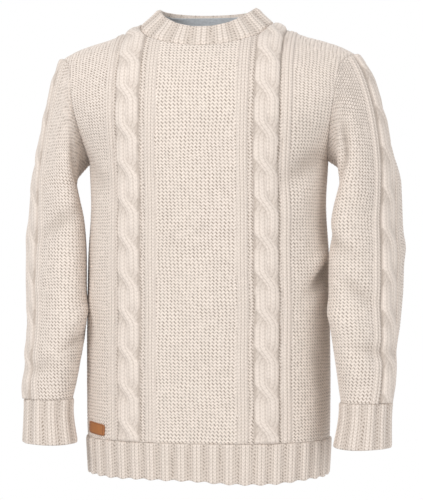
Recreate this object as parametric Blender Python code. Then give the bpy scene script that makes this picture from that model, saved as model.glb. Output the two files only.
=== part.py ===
"""A chunky cable-knit wool sweater in the form that its wearer gives it, with no wearer inside.

Metres, +Z up, the front faces -Y. The origin is the middle of the neck hole, level with the
high points of the shoulders. Left and right are the viewer's, looking at the front.
"""

import math

import bmesh
import bpy
import numpy as np

# Cloth
WALL = 0.0040
SEAM_GAP = 0.0003
LINING_WALL = 0.0016
PATCH_THICKNESS = 0.0013

# Levels
HEM_BOTTOM = -0.672
HEM_SEAM = -0.618
ARMPIT = -0.205
SLEEVE_TOP = -0.240
CUFF_SEAM = -0.559
CUFF_BOTTOM = -0.624

# Neck hole and the rim of the band that stands in it
NECK_HALF_WIDTH = 0.100
NECK_FRONT_DROP = 0.037
NECK_BACK_DROP = 0.009
RIM_HALF_WIDTH = 0.0735
RIM_FRONT = 0.068
RIM_BACK = 0.057
RIM_FRONT_LEVEL = -0.008
RIM_SIDE_LEVEL = 0.027
RIM_BACK_LEVEL = 0.025
RIM_POWER = 2.2
RIM_SIDE_POWER = 1.7

# How the band leaves its seam and comes to its rim: the rise over the way in, and its fullness
BAND_RISE = 0.9
BAND_SWELL = 0.8
BAND_END_LIFT = 0.02
# Shares of its height where its ribs are full and where they begin to sink, and how much they sink
BAND_RIBS_START = 0.25
BAND_RIM_START = 0.85
BAND_RIM_SINK = 0.55

# How squarely the torso's rings are drawn, and how the chest and the back round over the shoulder
TORSO_POWER = 2.3
FRONT_ROUND_HEIGHT = 0.150
FRONT_ROUND_POWER = 2.0
BACK_ROUND_HEIGHT = 0.100
BACK_ROUND_POWER = 3.0
ARMHOLE_FRONT = 0.076
ARMHOLE_BACK = 0.070
ARMPIT_POINT = 0.72

# How far each sleeve's head swells out over the shoulder, as a share of its length
LEFT_SWELL = 0.35
RIGHT_SWELL = 0.75
# How much of its way out of the seam follows the armhole's own plane, least at the underarm
HEAD_LIFT = 0.1
HEAD_LIFT_TOP = 0.65
HEAD_LIFT_POWER = 6

# Knit relief
CABLE_HALF_WIDTH = 0.017
CABLE_HEIGHT = 0.0055
CABLE_REPEAT = 0.0542
CABLE_FIRST = 0.0203
SLEEVE_REPEAT = 0.0610
SLEEVE_FIRST = 0.0018
CABLE_MIDDLE = 0.103
GUTTER_DEPTH = 0.0010
GUTTER_HALF_WIDTH = 0.0028
COLUMN_HEIGHT = 0.0022
INNER_COLUMNS = (0.0600, 0.0755)
OUTER_COLUMNS = (0.1275, 0.1395)
SLEEVE_COLUMNS = (0.0215, 0.0335)
RIB_HEIGHT = 0.0034
HEM_RIBS = 21
CUFF_RIBS = 11
NECK_RIBS = 18
RIB_STEPS = 4

# The hem hangs lowest here, along its row from the centre line
HEM_DIP = 0.005
HEM_DIP_ALONG = 0.085
HEM_DIP_HALF = 0.070

# A cable strand: how far it swings from the middle, how wide it is and how much of a repeat it
# takes to cross, as shares, and how much it rises and sinks at a crossing
STRAND_SWING = 0.47
STRAND_WIDTH = 0.56
CROSSING_SHARE = 0.8
STRAND_RISE = 0.12
STRAND_SINK = 0.45

# Relief and folds fade out this far from an edge
RELIEF_FADE = 0.010
FOLD_FADE = 0.030

# Leather patch: its height above the hem seam
PATCH_LOW = 0.0065
PATCH_HIGH = 0.0235
PATCH_FIRST_COLUMN = 2
PATCH_GAP = 0.0004
LINING_GAP = 0.0005

WOOL = (0.78, 0.70, 0.60)
FLEECE = (0.52, 0.55, 0.58)
LEATHER = (0.45, 0.21, 0.08)


def table(columns, *rows):
    return dict(zip(columns.split(), np.array(rows, float).T))


# The torso's rings, from the hem up to the armpits and on over the chest
TORSO = table(
    "level half_width front back",
    (-0.690, 0.1790, 0.117, 0.112),
    (-0.618, 0.1830, 0.119, 0.111),
    (-0.560, 0.1840, 0.120, 0.108),
    (-0.460, 0.1835, 0.122, 0.105),
    (-0.350, 0.1820, 0.124, 0.104),
    (-0.265, 0.1775, 0.126, 0.105),
    (-0.205, 0.1810, 0.126, 0.106),
    (0.000, 0.1810, 0.126, 0.106),
)

# How far out the armhole's edge lies at each level
ARMHOLE = table(
    "level reach",
    (-0.205, 0.1810),
    (-0.190, 0.1825),
    (-0.170, 0.1850),
    (-0.140, 0.1890),
    (-0.100, 0.1945),
    (-0.050, 0.1995),
    (-0.020, 0.2070),
    (0.000, 0.2220),
)

# How far the shoulder line falls below the origin at each reach from the centre
SHOULDER = table(
    "reach drop",
    (0.000, 0.000),
    (0.085, 0.000),
    (0.100, 0.001),
    (0.127, 0.011),
    (0.150, 0.019),
    (0.178, 0.027),
    (0.203, 0.036),
    (0.224, 0.048),
    (0.240, 0.062),
    (0.300, 0.110),
)

# The sleeve's rings: centre, half sizes across and fore and aft, and the turn of the front end inwards
SLEEVE = table(
    "level left_out right_out ahead half_width half_depth toe",
    (-0.640, 0.2270, 0.2350, -0.074, 0.0395, 0.0475, 25),
    (-0.559, 0.2320, 0.2410, -0.062, 0.0345, 0.0440, 25),
    (-0.540, 0.2310, 0.2410, -0.058, 0.0370, 0.0480, 25),
    (-0.500, 0.2280, 0.2400, -0.049, 0.0390, 0.0600, 25),
    (-0.470, 0.2265, 0.2390, -0.040, 0.0400, 0.0670, 28),
    (-0.440, 0.2270, 0.2385, -0.031, 0.0405, 0.0730, 30),
    (-0.390, 0.2310, 0.2395, -0.020, 0.0400, 0.0775, 32),
    (-0.340, 0.2330, 0.2395, -0.011, 0.0395, 0.0780, 32),
    (-0.290, 0.2345, 0.2405, -0.006, 0.0355, 0.0785, 31),
    (-0.240, 0.2380, 0.2450, -0.003, 0.0300, 0.0750, 28),
)

# Folds: middle (along the row, up from the hem seam), half sizes across and along the fold,
# lean from upright in degrees, and height
FRONT_FOLDS = table(
    "along up half_across half_along lean height",
    (0.185, 0.268, 0.013, 0.040, 72, 0.0040),
    (0.182, 0.240, 0.013, 0.036, 75, -0.0040),
    (0.172, 0.400, 0.022, 0.050, 58, -0.0040),
    (-0.178, 0.393, 0.022, 0.045, -58, -0.0030),
    (-0.190, 0.198, 0.014, 0.060, 15, 0.0030),
    (0.195, 0.098, 0.016, 0.060, -12, -0.0030),
    (0.020, 0.138, 0.030, 0.090, 8, 0.0020),
    (-0.050, 0.318, 0.025, 0.100, -8, -0.0020),
)
BACK_FOLDS = table(
    "along up half_across half_along lean height",
    (0.180, 0.388, 0.018, 0.050, 60, -0.0045),
    (-0.180, 0.378, 0.018, 0.050, -60, -0.0045),
    (0.060, 0.158, 0.026, 0.100, 10, 0.0035),
    (-0.080, 0.218, 0.028, 0.110, -8, -0.0035),
    (0.170, 0.148, 0.018, 0.070, -14, 0.0030),
    (0.000, 0.478, 0.020, 0.060, 88, -0.0025),
)
# A sleeve's folds: along is the length round from the middle of the outside, up is from the cuff seam
RIGHT_FOLDS = table(
    "along up half_across half_along lean height",
    (-0.120, 0.350, 0.014, 0.040, 10, -0.0060),
    (-0.075, 0.330, 0.016, 0.040, -55, 0.0035),
    (-0.100, 0.235, 0.014, 0.045, -62, -0.0035),
    (-0.090, 0.122, 0.014, 0.050, -66, 0.0035),
    (-0.030, 0.077, 0.012, 0.050, -80, -0.0045),
    (0.090, 0.087, 0.014, 0.060, 82, -0.0045),
    (0.070, 0.237, 0.016, 0.060, 60, 0.0035),
)
LEFT_FOLDS = table(
    "along up half_across half_along lean height",
    (-0.120, 0.350, 0.014, 0.040, 8, -0.0050),
    (-0.110, 0.127, 0.013, 0.035, -60, 0.0045),
    (-0.100, 0.087, 0.012, 0.035, -66, -0.0045),
    (-0.070, 0.267, 0.015, 0.050, -62, -0.0035),
    (-0.030, 0.047, 0.012, 0.045, -80, -0.0040),
    (0.090, 0.097, 0.014, 0.060, 82, -0.0045),
    (0.070, 0.267, 0.016, 0.060, 60, 0.0035),
)

# Where the solids' rows and columns lie. Shares run from the outer knit columns to the armhole or
# side seam, and the inside keeps every fourth row and column.
FRONT_ROW = CABLE_REPEAT / 4
BACK_ROW = 0.0260
ARMHOLE_ROW = 0.0200
SLEEVE_ROW = SLEEVE_REPEAT / 4
ARMPIT_ROWS = (0.0015, 0.0060, 0.0130, 0.0230, 0.0350)
FRONT_COLUMNS = (0, 0.030, 0.0600, 0.0627, 0.0725, 0.0755, 0.0860, 0.0916, 0.0973, 0.1030,
                 0.1087, 0.1144, 0.1200, 0.1275, 0.1305, 0.1365, 0.1395)
BACK_COLUMNS = (0, 0.018, 0.036, 0.052, 0.068, 0.084, 0.0980, 0.1290)
FRONT_SHARES = (0.08, 0.30, 0.50, 0.76, 1.0)
BACK_SHARES = (0.25, 0.50, 0.75, 1.0)
CABLE_STEPS = (0, 0.0057, 0.0113, 0.0170, 0.0200, 0.0230, 0.0320, 0.0345)
SLEEVE_STEPS = 8
NECK_START = 0.080
BAND_ROWS = (0, 0.20, 0.60, 0.93, 1.0)
INSIDE_STEP = 4

# How finely the forms are sampled before the solids are taken from them, and how far they reach
SAMPLES = 400
FORM_STEP = 0.0015
FORM_HALF = 0.300
FORM_BOTTOM = -0.690
FORM_BEND = -0.150
# Heights up the cloth are measured along this column
HEIGHT_COLUMN = 0.120


def smooth(source, key, column, at):
    """A smooth curve through one column of a table."""
    x, y = source[key], source[column]
    at = np.clip(np.asarray(at, float), x[0], x[-1])
    slope = np.gradient(y, x)
    i = np.clip(np.searchsorted(x, at) - 1, 0, len(x) - 2)
    span = x[i + 1] - x[i]
    t = (at - x[i]) / span
    start = t * (1 - t) ** 2 * span * slope[i]
    end = t * t * (1 - t) * span * slope[i + 1]
    return y[i] + t * t * (3 - 2 * t) * (y[i + 1] - y[i]) + start - end


def ease(t):
    t = np.clip(t, 0, 1)
    return t * t * (3 - 2 * t)


def unit(vectors):
    return vectors / np.maximum(np.linalg.norm(vectors, axis=-1, keepdims=True), 1e-12)


def lengths(points):
    """The distance covered along a row of points, starting from 0."""
    return np.concatenate([[0], np.cumsum(np.linalg.norm(np.diff(points, axis=0), axis=1))])


def at_lengths(points, covered, places):
    return np.stack([np.interp(places, covered, points[:, k]) for k in range(3)], axis=1)


# Torso


def torso_row(level, face):
    """Half a row of the torso, from its centre line out, and the length to its edge."""
    front = face < 0
    height = FRONT_ROUND_HEIGHT if front else BACK_ROUND_HEIGHT
    power = FRONT_ROUND_POWER if front else BACK_ROUND_POWER
    level = min(level, -1e-6)
    low = min(-level / height, 1)
    depth = smooth(TORSO, "level", "front" if front else "back", level)
    depth = depth * (1 - (1 - low) ** power) ** (1 / power)
    half_width = smooth(TORSO, "level", "half_width", level)
    reach = half_width
    if level > ARMPIT:
        reach = smooth(ARMHOLE, "level", "reach", level)
        from_middle = (level - ARMPIT / 2) / (ARMPIT / 2)
        bend = 0.5 if from_middle < 0 else ARMPIT_POINT
        ahead = (ARMHOLE_FRONT if front else ARMHOLE_BACK) * (1 - from_middle**2) ** bend
        turn = min(ahead / depth, 0.9)
        half_width = reach / (1 - turn**TORSO_POWER) ** (1 / TORSO_POWER)
    angle = np.linspace(0, math.pi / 2, SAMPLES)
    x = half_width * np.sin(angle) ** (2 / TORSO_POWER)
    y = face * depth * np.abs(np.cos(angle)) ** (2 / TORSO_POWER)
    share = ease((level - ARMPIT) / -ARMPIT)
    z = level - share * smooth(SHOULDER, "reach", "drop", x)
    points = np.stack([x, y, z], axis=1)
    edge = float(np.interp(reach, x, lengths(points)))
    beyond = points[-1] + (0, -face * FORM_HALF, 0)
    return np.concatenate([points, [beyond]]), edge


def torso_form(face):
    """The torso's front (-1) or back (1) over even steps up the cloth and along its rows."""
    bend = np.linspace(1, 0, SAMPLES) ** 2
    levels = np.concatenate([np.linspace(FORM_BOTTOM, FORM_BEND, SAMPLES), FORM_BEND * bend[1:]])
    rows = [torso_row(level, face) for level in levels]
    middle = np.array([at_lengths(row, lengths(row), [HEIGHT_COLUMN])[0] for row, _ in rows])
    up = lengths(middle)
    up -= np.interp(HEM_SEAM, levels, up)
    ups = np.linspace(up[0], up[-1], round((up[-1] - up[0]) / FORM_STEP))
    form_levels = np.interp(ups, up, levels)
    places = np.arange(-FORM_HALF, FORM_HALF + FORM_STEP / 2, FORM_STEP)
    points, edges = [], []
    for level in form_levels:
        row, edge = torso_row(level, face)
        found = at_lengths(row, lengths(row), np.abs(places))
        found[:, 0] *= np.where(places < 0, -1, 1)
        points.append(found)
        edges.append(edge)
    points = np.array(points)
    across = np.gradient(points, axis=1)
    normals = unit(np.cross(across, np.gradient(points, axis=0)) * -face)
    return {
        "face": face,
        "ups": ups,
        "levels": form_levels,
        "edges": np.array(edges),
        "places": places,
        "points": points,
        "normals": normals,
    }


def form_at(form, layer, up, along):
    """One layer of a form at these heights up the cloth and lengths along its rows."""
    grid = form[layer]
    r = np.clip((up - form["ups"][0]) / (form["ups"][1] - form["ups"][0]), 0, grid.shape[0] - 1.001)
    c = np.clip((along - form["places"][0]) / FORM_STEP, 0, grid.shape[1] - 1.001)
    i, j = r.astype(int), c.astype(int)
    a, b = (r - i)[..., None], (c - j)[..., None]
    low = grid[i, j] * (1 - b) + grid[i, j + 1] * b
    high = grid[i + 1, j] * (1 - b) + grid[i + 1, j + 1] * b
    return low * (1 - a) + high * a


def fold_height(folds, along, up):
    """The height of all folds at places along the rows and up the piece."""
    height = np.zeros(np.broadcast(along, up).shape)
    for k in range(len(folds["along"])):
        lean = math.radians(folds["lean"][k])
        dx = along - folds["along"][k]
        dz = up - folds["up"][k]
        across = (dx * math.cos(lean) - dz * math.sin(lean)) / folds["half_across"][k]
        run = (dx * math.sin(lean) + dz * math.cos(lean)) / folds["half_along"][k]
        height += folds["height"][k] * np.exp(-across * across - run * run)
    return height


# Knit relief


def cable(across, up, first, repeat):
    """The height of a rope cable: at each crossing the strand from the upper left lies on top."""
    phase = (up - first) / repeat
    phase = phase - np.round(phase)
    u = across / CABLE_HALF_WIDTH
    swing = STRAND_SWING * np.sin(math.pi * np.clip(phase / CROSSING_SHARE, -0.5, 0.5))
    lift = np.cos(math.pi * phase) ** 2
    over = (u + swing) / STRAND_WIDTH
    under = (u - swing) / STRAND_WIDTH
    top = (1 + STRAND_RISE * lift) * np.sqrt(np.clip(1 - over**2, 0, 1))
    low = (1 - STRAND_SINK * lift) * np.sqrt(np.clip(1 - under**2, 0, 1))
    return CABLE_HEIGHT * np.maximum(top, low)


def band(side, limits):
    """A raised band of knit columns between two limits, rounded at its edges."""
    middle, half = (limits[0] + limits[1]) / 2, (limits[1] - limits[0]) / 2
    return COLUMN_HEIGHT * np.sqrt(np.clip(1 - ((side - middle) / half) ** 4, 0, 1))


def gutters(across):
    """The narrow valley on each side of a cable."""
    beside = (np.abs(across) - CABLE_HALF_WIDTH - GUTTER_HALF_WIDTH) / GUTTER_HALF_WIDTH
    return -GUTTER_DEPTH * np.exp(-(beside**2))


def front_relief(along, up):
    side = np.abs(along)
    across = (side - CABLE_MIDDLE) * np.where(along < 0, -1, 1)
    rope = cable(across, up, CABLE_FIRST, CABLE_REPEAT)
    return band(side, INNER_COLUMNS) + band(side, OUTER_COLUMNS) + gutters(across) + rope


def sleeve_relief(across, up):
    rope = cable(across, up, SLEEVE_FIRST, SLEEVE_REPEAT)
    return band(np.abs(across), SLEEVE_COLUMNS) + gutters(across) + rope


def ribs(turns):
    """Rounded ribs with narrower valleys, one for each whole turn."""
    return RIB_HEIGHT * (0.5 + 0.5 * np.cos(2 * math.pi * turns)) ** 0.7


# Solids


def add_object(name, mesh, color, roughness):
    for polygon in mesh.polygons:
        polygon.use_smooth = True
    material = bpy.data.materials.new(name)
    material.use_nodes = True
    shader = material.node_tree.nodes["Principled BSDF"]
    shader.inputs["Base Color"].default_value = (*color, 1)
    shader.inputs["Roughness"].default_value = roughness
    mesh.materials.append(material)
    bpy.context.scene.collection.objects.link(bpy.data.objects.new(name, mesh))


def kept(count, stride):
    """Indices at this stride, always with the last one."""
    return sorted(set(range(0, count - 1, stride)) | {count - 1})


def wall(name, outside, inside, color, closed=False, strides=(INSIDE_STEP, INSIDE_STEP), roughness=0.9):
    """A closed wall between two grids of points. Away from its edges the inside is coarser."""
    rows, columns = outside.shape[:2]
    bm = bmesh.new()
    outer = [[bm.verts.new(point) for point in row] for row in outside]
    keep_rows = kept(rows, strides[0])
    keep_columns = [*range(0, columns, strides[1]), columns] if closed else kept(columns, strides[1])
    inner = {}

    def inner_at(r, c):
        c %= columns
        if (r, c) not in inner:
            inner[r, c] = bm.verts.new(inside[r, c])
        return inner[r, c]

    around = columns if closed else columns - 1
    for r in range(rows - 1):
        for c in range(around):
            d = (c + 1) % columns
            bm.faces.new((outer[r][c], outer[r][d], outer[r + 1][d], outer[r + 1][c]))

    def run(first, last, fine):
        return list(range(first, last)) if fine else [first]

    for r, s in zip(keep_rows, keep_rows[1:]):
        for c, d in zip(keep_columns, keep_columns[1:]):
            corners = [(r, k) for k in run(c, d, r == 0)]
            corners += [(k, d) for k in run(r, s, not closed and d == columns - 1)]
            corners += [(s, c + d - k) for k in run(c, d, s == rows - 1)]
            corners += [(r + s - k, c) for k in run(r, s, not closed and c == 0)]
            bm.faces.new([inner_at(*corner) for corner in reversed(corners)])
    for r in (0, rows - 1):
        for c in range(around):
            d = (c + 1) % columns
            bm.faces.new((outer[r][c], outer[r][d], inner_at(r, d), inner_at(r, c)))
    if not closed:
        for c in (0, columns - 1):
            for r in range(rows - 1):
                bm.faces.new((outer[r][c], outer[r + 1][c], inner_at(r + 1, c), inner_at(r, c)))
    bmesh.ops.recalc_face_normals(bm, faces=bm.faces)
    bmesh.ops.triangulate(bm, faces=bm.faces)
    mesh = bpy.data.meshes.new(name)
    bm.to_mesh(mesh)
    bm.free()
    add_object(name, mesh, color, roughness)


def neck_limit(form, along):
    """The level of the neck's edge at these lengths along the row, 0 on the shoulder."""
    drop = NECK_FRONT_DROP if form["face"] < 0 else NECK_BACK_DROP
    return -drop * np.sqrt(np.clip(1 - (along / NECK_HALF_WIDTH) ** 2, 0, 1))


def panel_grid(form, columns, shares, spacing):
    """Where a panel's vertices lie: lengths along the rows and heights up the cloth. Also returns
    how many columns reach the neck and which row is the armpit's."""
    top = form["ups"][-1]
    armpit = np.interp(ARMPIT, form["levels"], form["ups"])
    low = np.append(np.arange(0, armpit - spacing / 2, spacing), armpit)
    near = np.interp(ARMPIT + np.array(ARMPIT_ROWS), form["levels"], form["ups"])
    high = np.linspace(near[-1], top, round((top - near[-1]) / min(spacing, ARMHOLE_ROW)) + 1)
    rows = np.concatenate([low, near, high[1:]])
    start = top - NECK_START
    fixed, shares = np.array(columns), np.array(shares)
    inside = fixed < NECK_HALF_WIDTH
    turn = np.linspace(0, math.pi / 2, inside.sum() + 1)
    gathered = fixed.copy()
    gathered[inside] = NECK_HALF_WIDTH * np.sin(turn[:-1])
    gathered[inside.sum()] = NECK_HALF_WIDTH
    limit = np.interp(neck_limit(form, gathered), form["levels"], form["ups"])
    limit[inside.sum():] = top
    along, up = [], []
    for row in rows:
        share = ease((row - start) / NECK_START)
        half = fixed + (gathered - fixed) * share
        edge = np.interp(row, form["ups"], form["edges"])
        half = np.concatenate([half, fixed[-1] + shares * (edge - fixed[-1])])
        height = np.full(len(half), row)
        if row > start:
            height[: len(fixed)] = start + (row - start) / NECK_START * (limit - start)
        along.append(np.concatenate([-half[:0:-1], half]))
        up.append(np.concatenate([height[:0:-1], height]))
    return np.array(along), np.array(up), int(inside.sum()), len(low) - 1


def edge_distance(form, along, up):
    """About how far a place lies from the neck's edge and the armhole's."""
    level = np.interp(up, form["ups"], form["levels"])
    edge = np.interp(up, form["ups"], form["edges"])
    drop = NECK_FRONT_DROP if form["face"] < 0 else NECK_BACK_DROP
    neck = (np.hypot(along / NECK_HALF_WIDTH, level / drop) - 1) * NECK_HALF_WIDTH / 2
    neck = np.where(np.abs(along) > NECK_HALF_WIDTH, np.maximum(neck, np.abs(along) - NECK_HALF_WIDTH), neck)
    armhole = np.where(level > ARMPIT, edge - np.abs(along), 1)
    return np.maximum(np.minimum(neck, armhole), 0)


def torso_panel(name, form, columns, shares, spacing, folds, relief):
    """The front or the back. Returns its grids and where they meet the neck and the armpit."""
    along, up, neck, armpit = panel_grid(form, columns, shares, spacing)
    points = form_at(form, "points", up, along)
    normals = form_at(form, "normals", up, along)
    level = np.interp(up[:, 0], form["ups"], form["levels"])
    side = level <= ARMPIT + 1e-6
    for c in (0, -1):
        normals[side, c] = (-1 if c == 0 else 1, 0, 0)
        points[side, c, 1] = form["face"] * SEAM_GAP / 2
    top = np.abs(along[-1]) > NECK_HALF_WIDTH - 1e-6
    normals[-1, top, 1] = 0
    points[-1, top, 1] = form["face"] * SEAM_GAP / 2
    normals[0, :, 2] = 0
    normals = unit(normals)
    far = edge_distance(form, along, up)
    seams = np.minimum(np.minimum(up, form["ups"][-1] - up), far)
    edge = np.interp(up, form["ups"], form["edges"])
    seams = np.minimum(seams, np.maximum(edge - np.abs(along), 0))
    bend = fold_height(folds, along, up) * ease(seams / FOLD_FADE)
    open_edge = np.minimum(far, (form["ups"][-1] - up) / 2)
    raised = relief(along, up) * ease(open_edge / RELIEF_FADE) if relief else 0 * up
    outside = points + normals * (bend + raised)[..., None]
    inside = points + normals * (bend - WALL)[..., None]
    wall(name, outside, inside, WOOL)
    return {"layers": (outside, inside), "along": along, "up": up, "neck": neck, "armpit": armpit}


def chain_at(outer, inner, shares):
    """Pairs of points along an edge by the share of its length, on its outer and inner lines."""
    covered = lengths(outer)
    places = np.asarray(shares) * covered[-1]
    return at_lengths(outer, covered, places), at_lengths(inner, covered, places)


def hole_step(outer, inner, gap):
    """The same closed edge moved into its hole by the seam's gap."""
    ahead = np.roll(outer, -1, axis=0) - np.roll(outer, 1, axis=0)
    into = unit(np.cross(outer - inner, ahead))
    middle = outer.mean(axis=0)
    into *= np.where(((middle - outer) * into).sum(axis=1).mean() < 0, -1, 1)
    return into, outer + into * gap, inner + into * gap


def armhole_edge(front, back, side):
    """The armhole's edge from the armpit up the front, over the shoulder and down the back."""
    column = -1 if side > 0 else 0
    pairs = []
    for layer in (0, 1):
        up_front = front["layers"][layer][front["armpit"]:, column]
        down_back = back["layers"][layer][back["armpit"]:, column][::-1]
        pairs.append(np.concatenate([up_front, down_back]))
    return pairs


def neck_edge(front, back):
    """The neck's edge from the middle of the front round the viewer's right side."""
    pairs = []
    for layer in (0, 1):
        loops = []
        for panel, order in ((front, 1), (back, -1)):
            top = panel["layers"][layer][-1]
            middle = len(top) // 2
            loops.append(top[middle - panel["neck"]: middle + panel["neck"] + 1][::order])
        half = len(loops[0]) // 2
        pairs.append(np.concatenate([loops[0][half:], loops[1], loops[0][: half + 1]]))
    return pairs


# Sleeves


def sleeve_ring(level, side, count=SAMPLES):
    """A closed ring from its underarm point over the front. Its middle is the outside's centre line."""
    size = {name: float(smooth(SLEEVE, "level", name, level)) for name in SLEEVE}
    toe = math.radians(size["toe"])
    angle = np.linspace(0, 2 * math.pi, count)
    wide = -size["half_width"] * np.cos(angle)
    deep = size["half_depth"] * np.sin(angle)
    x = size["right_out" if side > 0 else "left_out"] + wide * math.cos(toe) - deep * math.sin(toe)
    y = size["ahead"] - wide * math.sin(toe) - deep * math.cos(toe)
    return np.stack([side * x, y, np.full(count, level)], axis=1)


def ring_at(ring, offsets):
    """Points on a closed ring at these lengths from its middle."""
    covered = lengths(ring)
    return at_lengths(ring, covered, covered[-1] / 2 + offsets)


def sleeve_offsets(half):
    """Lengths from the middle of the outside for a ring of this half length."""
    fixed = np.array(CABLE_STEPS)
    rest = np.linspace(fixed[-1], half, SLEEVE_STEPS + 1)[1:-1]
    return np.concatenate([[-half], -rest[::-1], -fixed[:0:-1], fixed, rest])


def sleeve_grid(edge, side):
    """The sleeve's form from the cuff's seam up to the armhole, with its cloth coordinates."""
    outer, inner = edge
    points, along = [], []
    levels = np.append(np.arange(CUFF_SEAM, SLEEVE_TOP - SLEEVE_ROW / 2, SLEEVE_ROW), SLEEVE_TOP)
    for level in levels:
        ring = sleeve_ring(level, side)
        offsets = sleeve_offsets(lengths(ring)[-1] / 2)
        points.append(ring_at(ring, offsets))
        along.append(offsets)
    stack = np.array(points)
    steps = np.linalg.norm(np.diff(stack, axis=0), axis=2)
    up = [0 * along[0], *np.cumsum(steps, axis=0)]
    covered = lengths(outer)
    offsets = sleeve_offsets(covered[-1] / 2)
    shares = (offsets + covered[-1] / 2) / covered[-1]
    start_outer, start_inner = chain_at(outer, inner, shares)
    into, start_outer, start_inner = hole_step(start_outer, start_inner, SEAM_GAP)
    base, low = stack[-1], unit(stack[-1] - stack[-2])
    reach = np.linalg.norm(start_outer - base, axis=1)[:, None]
    lift = (HEAD_LIFT + HEAD_LIFT_TOP * np.sin(math.pi * shares) ** HEAD_LIFT_POWER)[:, None]
    away = unit(lift * into + (1 - lift) * unit(base - start_outer))
    rows = round(float(reach.max()) / SLEEVE_ROW)
    swell = RIGHT_SWELL if side > 0 else LEFT_SWELL
    before, height = base, up[-1]
    for row in range(1, rows + 1):
        t = row / rows
        curve = base * (1 + 2 * t) * (1 - t) ** 2 + start_outer * t * t * (3 - 2 * t)
        curve = curve + swell * reach * (low * t * (1 - t) ** 2 + away * t * t * (1 - t))
        height = height + np.linalg.norm(curve - before, axis=1)
        before = curve
        points.append(curve)
        along.append(along[len(levels) - 1] * (1 - t) + offsets * t)
        up.append(height)
    return np.array(points), np.array(along), np.array(up), start_outer, start_inner


def tube_normals(points):
    """Outward normals of a grid that closes on itself along its rows."""
    across = np.roll(points, -1, axis=1) - np.roll(points, 1, axis=1)
    normals = unit(np.cross(across, np.gradient(points, axis=0)))
    out = ((points - points.mean(axis=1, keepdims=True)) * normals).sum(axis=-1)
    return normals * np.where(np.median(out) < 0, -1, 1)


def sleeve(name, edge, side, folds):
    points, along, up, start_outer, start_inner = sleeve_grid(edge, side)
    normals = tube_normals(points)
    normals[0, :, 2] = 0
    normals = unit(normals)
    from_top = up[-1] - up
    bend = fold_height(folds, along, up) * ease(np.minimum(from_top, up) / FOLD_FADE)
    raised = sleeve_relief(along * side, up) * ease(from_top / RELIEF_FADE)
    outside = points + normals * (bend + raised)[..., None]
    inside = points + normals * (bend - WALL)[..., None]
    outside[-1], inside[-1] = start_outer, start_inner
    wall(name, outside, inside, WOOL, closed=True)


def cuff(name, side):
    columns = CUFF_RIBS * RIB_STEPS
    levels = np.linspace(CUFF_SEAM - SEAM_GAP, CUFF_BOTTOM, 3)
    points = []
    for level in levels:
        ring = sleeve_ring(level, side)
        half = lengths(ring)[-1] / 2
        points.append(ring_at(ring, np.linspace(-half, half, columns + 1)[:-1]))
    points = np.array(points)
    normals = tube_normals(points)
    normals[0, :, 2] = 0
    raised = ribs(np.arange(columns) / RIB_STEPS)[None, :, None]
    outside = points + unit(normals) * raised
    wall(name, outside, points - unit(normals) * WALL, WOOL, closed=True, strides=(2, 4))


def hem_rib(name, form):
    """Half of the ribbed hem, from just under a panel's seam."""
    low = np.interp(HEM_BOTTOM, form["levels"], form["ups"])
    ups = np.linspace(-SEAM_GAP, low, 3)
    shares = np.linspace(-1, 1, HEM_RIBS * RIB_STEPS + 1)
    edge = np.interp(ups, form["ups"], form["edges"])
    along = edge[:, None] * shares[None, :]
    dip = np.exp(-(((along - HEM_DIP_ALONG) / HEM_DIP_HALF) ** 2))
    up = ups[:, None] * (1 + HEM_DIP / -low * dip * (form["face"] < 0))
    points = form_at(form, "points", up, along)
    normals = form_at(form, "normals", up, along)
    for c in (0, -1):
        normals[:, c] = (-1 if c == 0 else 1, 0, 0)
        points[:, c, 1] = form["face"] * SEAM_GAP / 2
    normals[0, :, 2] = 0
    normals = unit(normals)
    raised = ribs(shares * HEM_RIBS / 2)[None, :, None]
    wall(name, points + normals * raised, points - normals * WALL, WOOL, strides=(2, 4))


# Neck


def rim_point(share):
    """The band's rim at a share of the way round from the middle of the front."""
    angle = 2 * math.pi * share
    x, y = math.sin(angle), -math.cos(angle)
    x, y = (math.copysign(abs(v) ** (2 / RIM_POWER), v) for v in (x, y))
    end = RIM_FRONT_LEVEL if y < 0 else RIM_BACK_LEVEL
    level = RIM_SIDE_LEVEL + (end - RIM_SIDE_LEVEL) * abs(y) ** RIM_SIDE_POWER
    return (RIM_HALF_WIDTH * x, y * (RIM_FRONT if y < 0 else RIM_BACK), level)


def neckband(edge):
    """The ribbed band. Returns its inside for the lining."""
    columns = NECK_RIBS * RIB_STEPS
    shares = np.arange(columns) / columns
    base, base_inner = chain_at(*edge, shares)
    into, base, base_inner = hole_step(base, base_inner, SEAM_GAP)
    rim = np.array([rim_point(share) for share in shares])
    reach = np.linalg.norm(rim - base, axis=1)[:, None]
    start = unit(into + (0, 0, BAND_RISE))
    end = unit(rim - base + (0, 0, BAND_END_LIFT))
    points = []
    for t in BAND_ROWS:
        curve = base * (1 + 2 * t) * (1 - t) ** 2 + rim * t * t * (3 - 2 * t)
        points.append(curve + BAND_SWELL * reach * (start * t * (1 - t) ** 2 - end * t * t * (1 - t)))
    points = np.array(points)
    normals = tube_normals(points)
    rise = np.array(BAND_ROWS)[:, None]
    rounded = 1 - BAND_RIM_SINK * ease((rise - BAND_RIM_START) / (1 - BAND_RIM_START))
    raised = ribs(shares * NECK_RIBS)[None, :] * ease(rise / BAND_RIBS_START) * rounded
    outside = points + normals * raised[..., None]
    inside = points - normals * WALL
    outside[0], inside[0] = base, base_inner
    wall("neckband", outside, inside, WOOL, closed=True, strides=(1, 2))
    return inside[:, ::2], normals[:, ::2]


def neck_lining(inside, normals):
    """A fleece strip on the band's inside, below its rim."""
    outside = inside[1:4] - normals[1:4] * LINING_GAP
    inner = outside - normals[1:4] * LINING_WALL
    wall("neck_lining", outside, inner, FLEECE, closed=True, strides=(1, 1), roughness=1.0)


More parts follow.
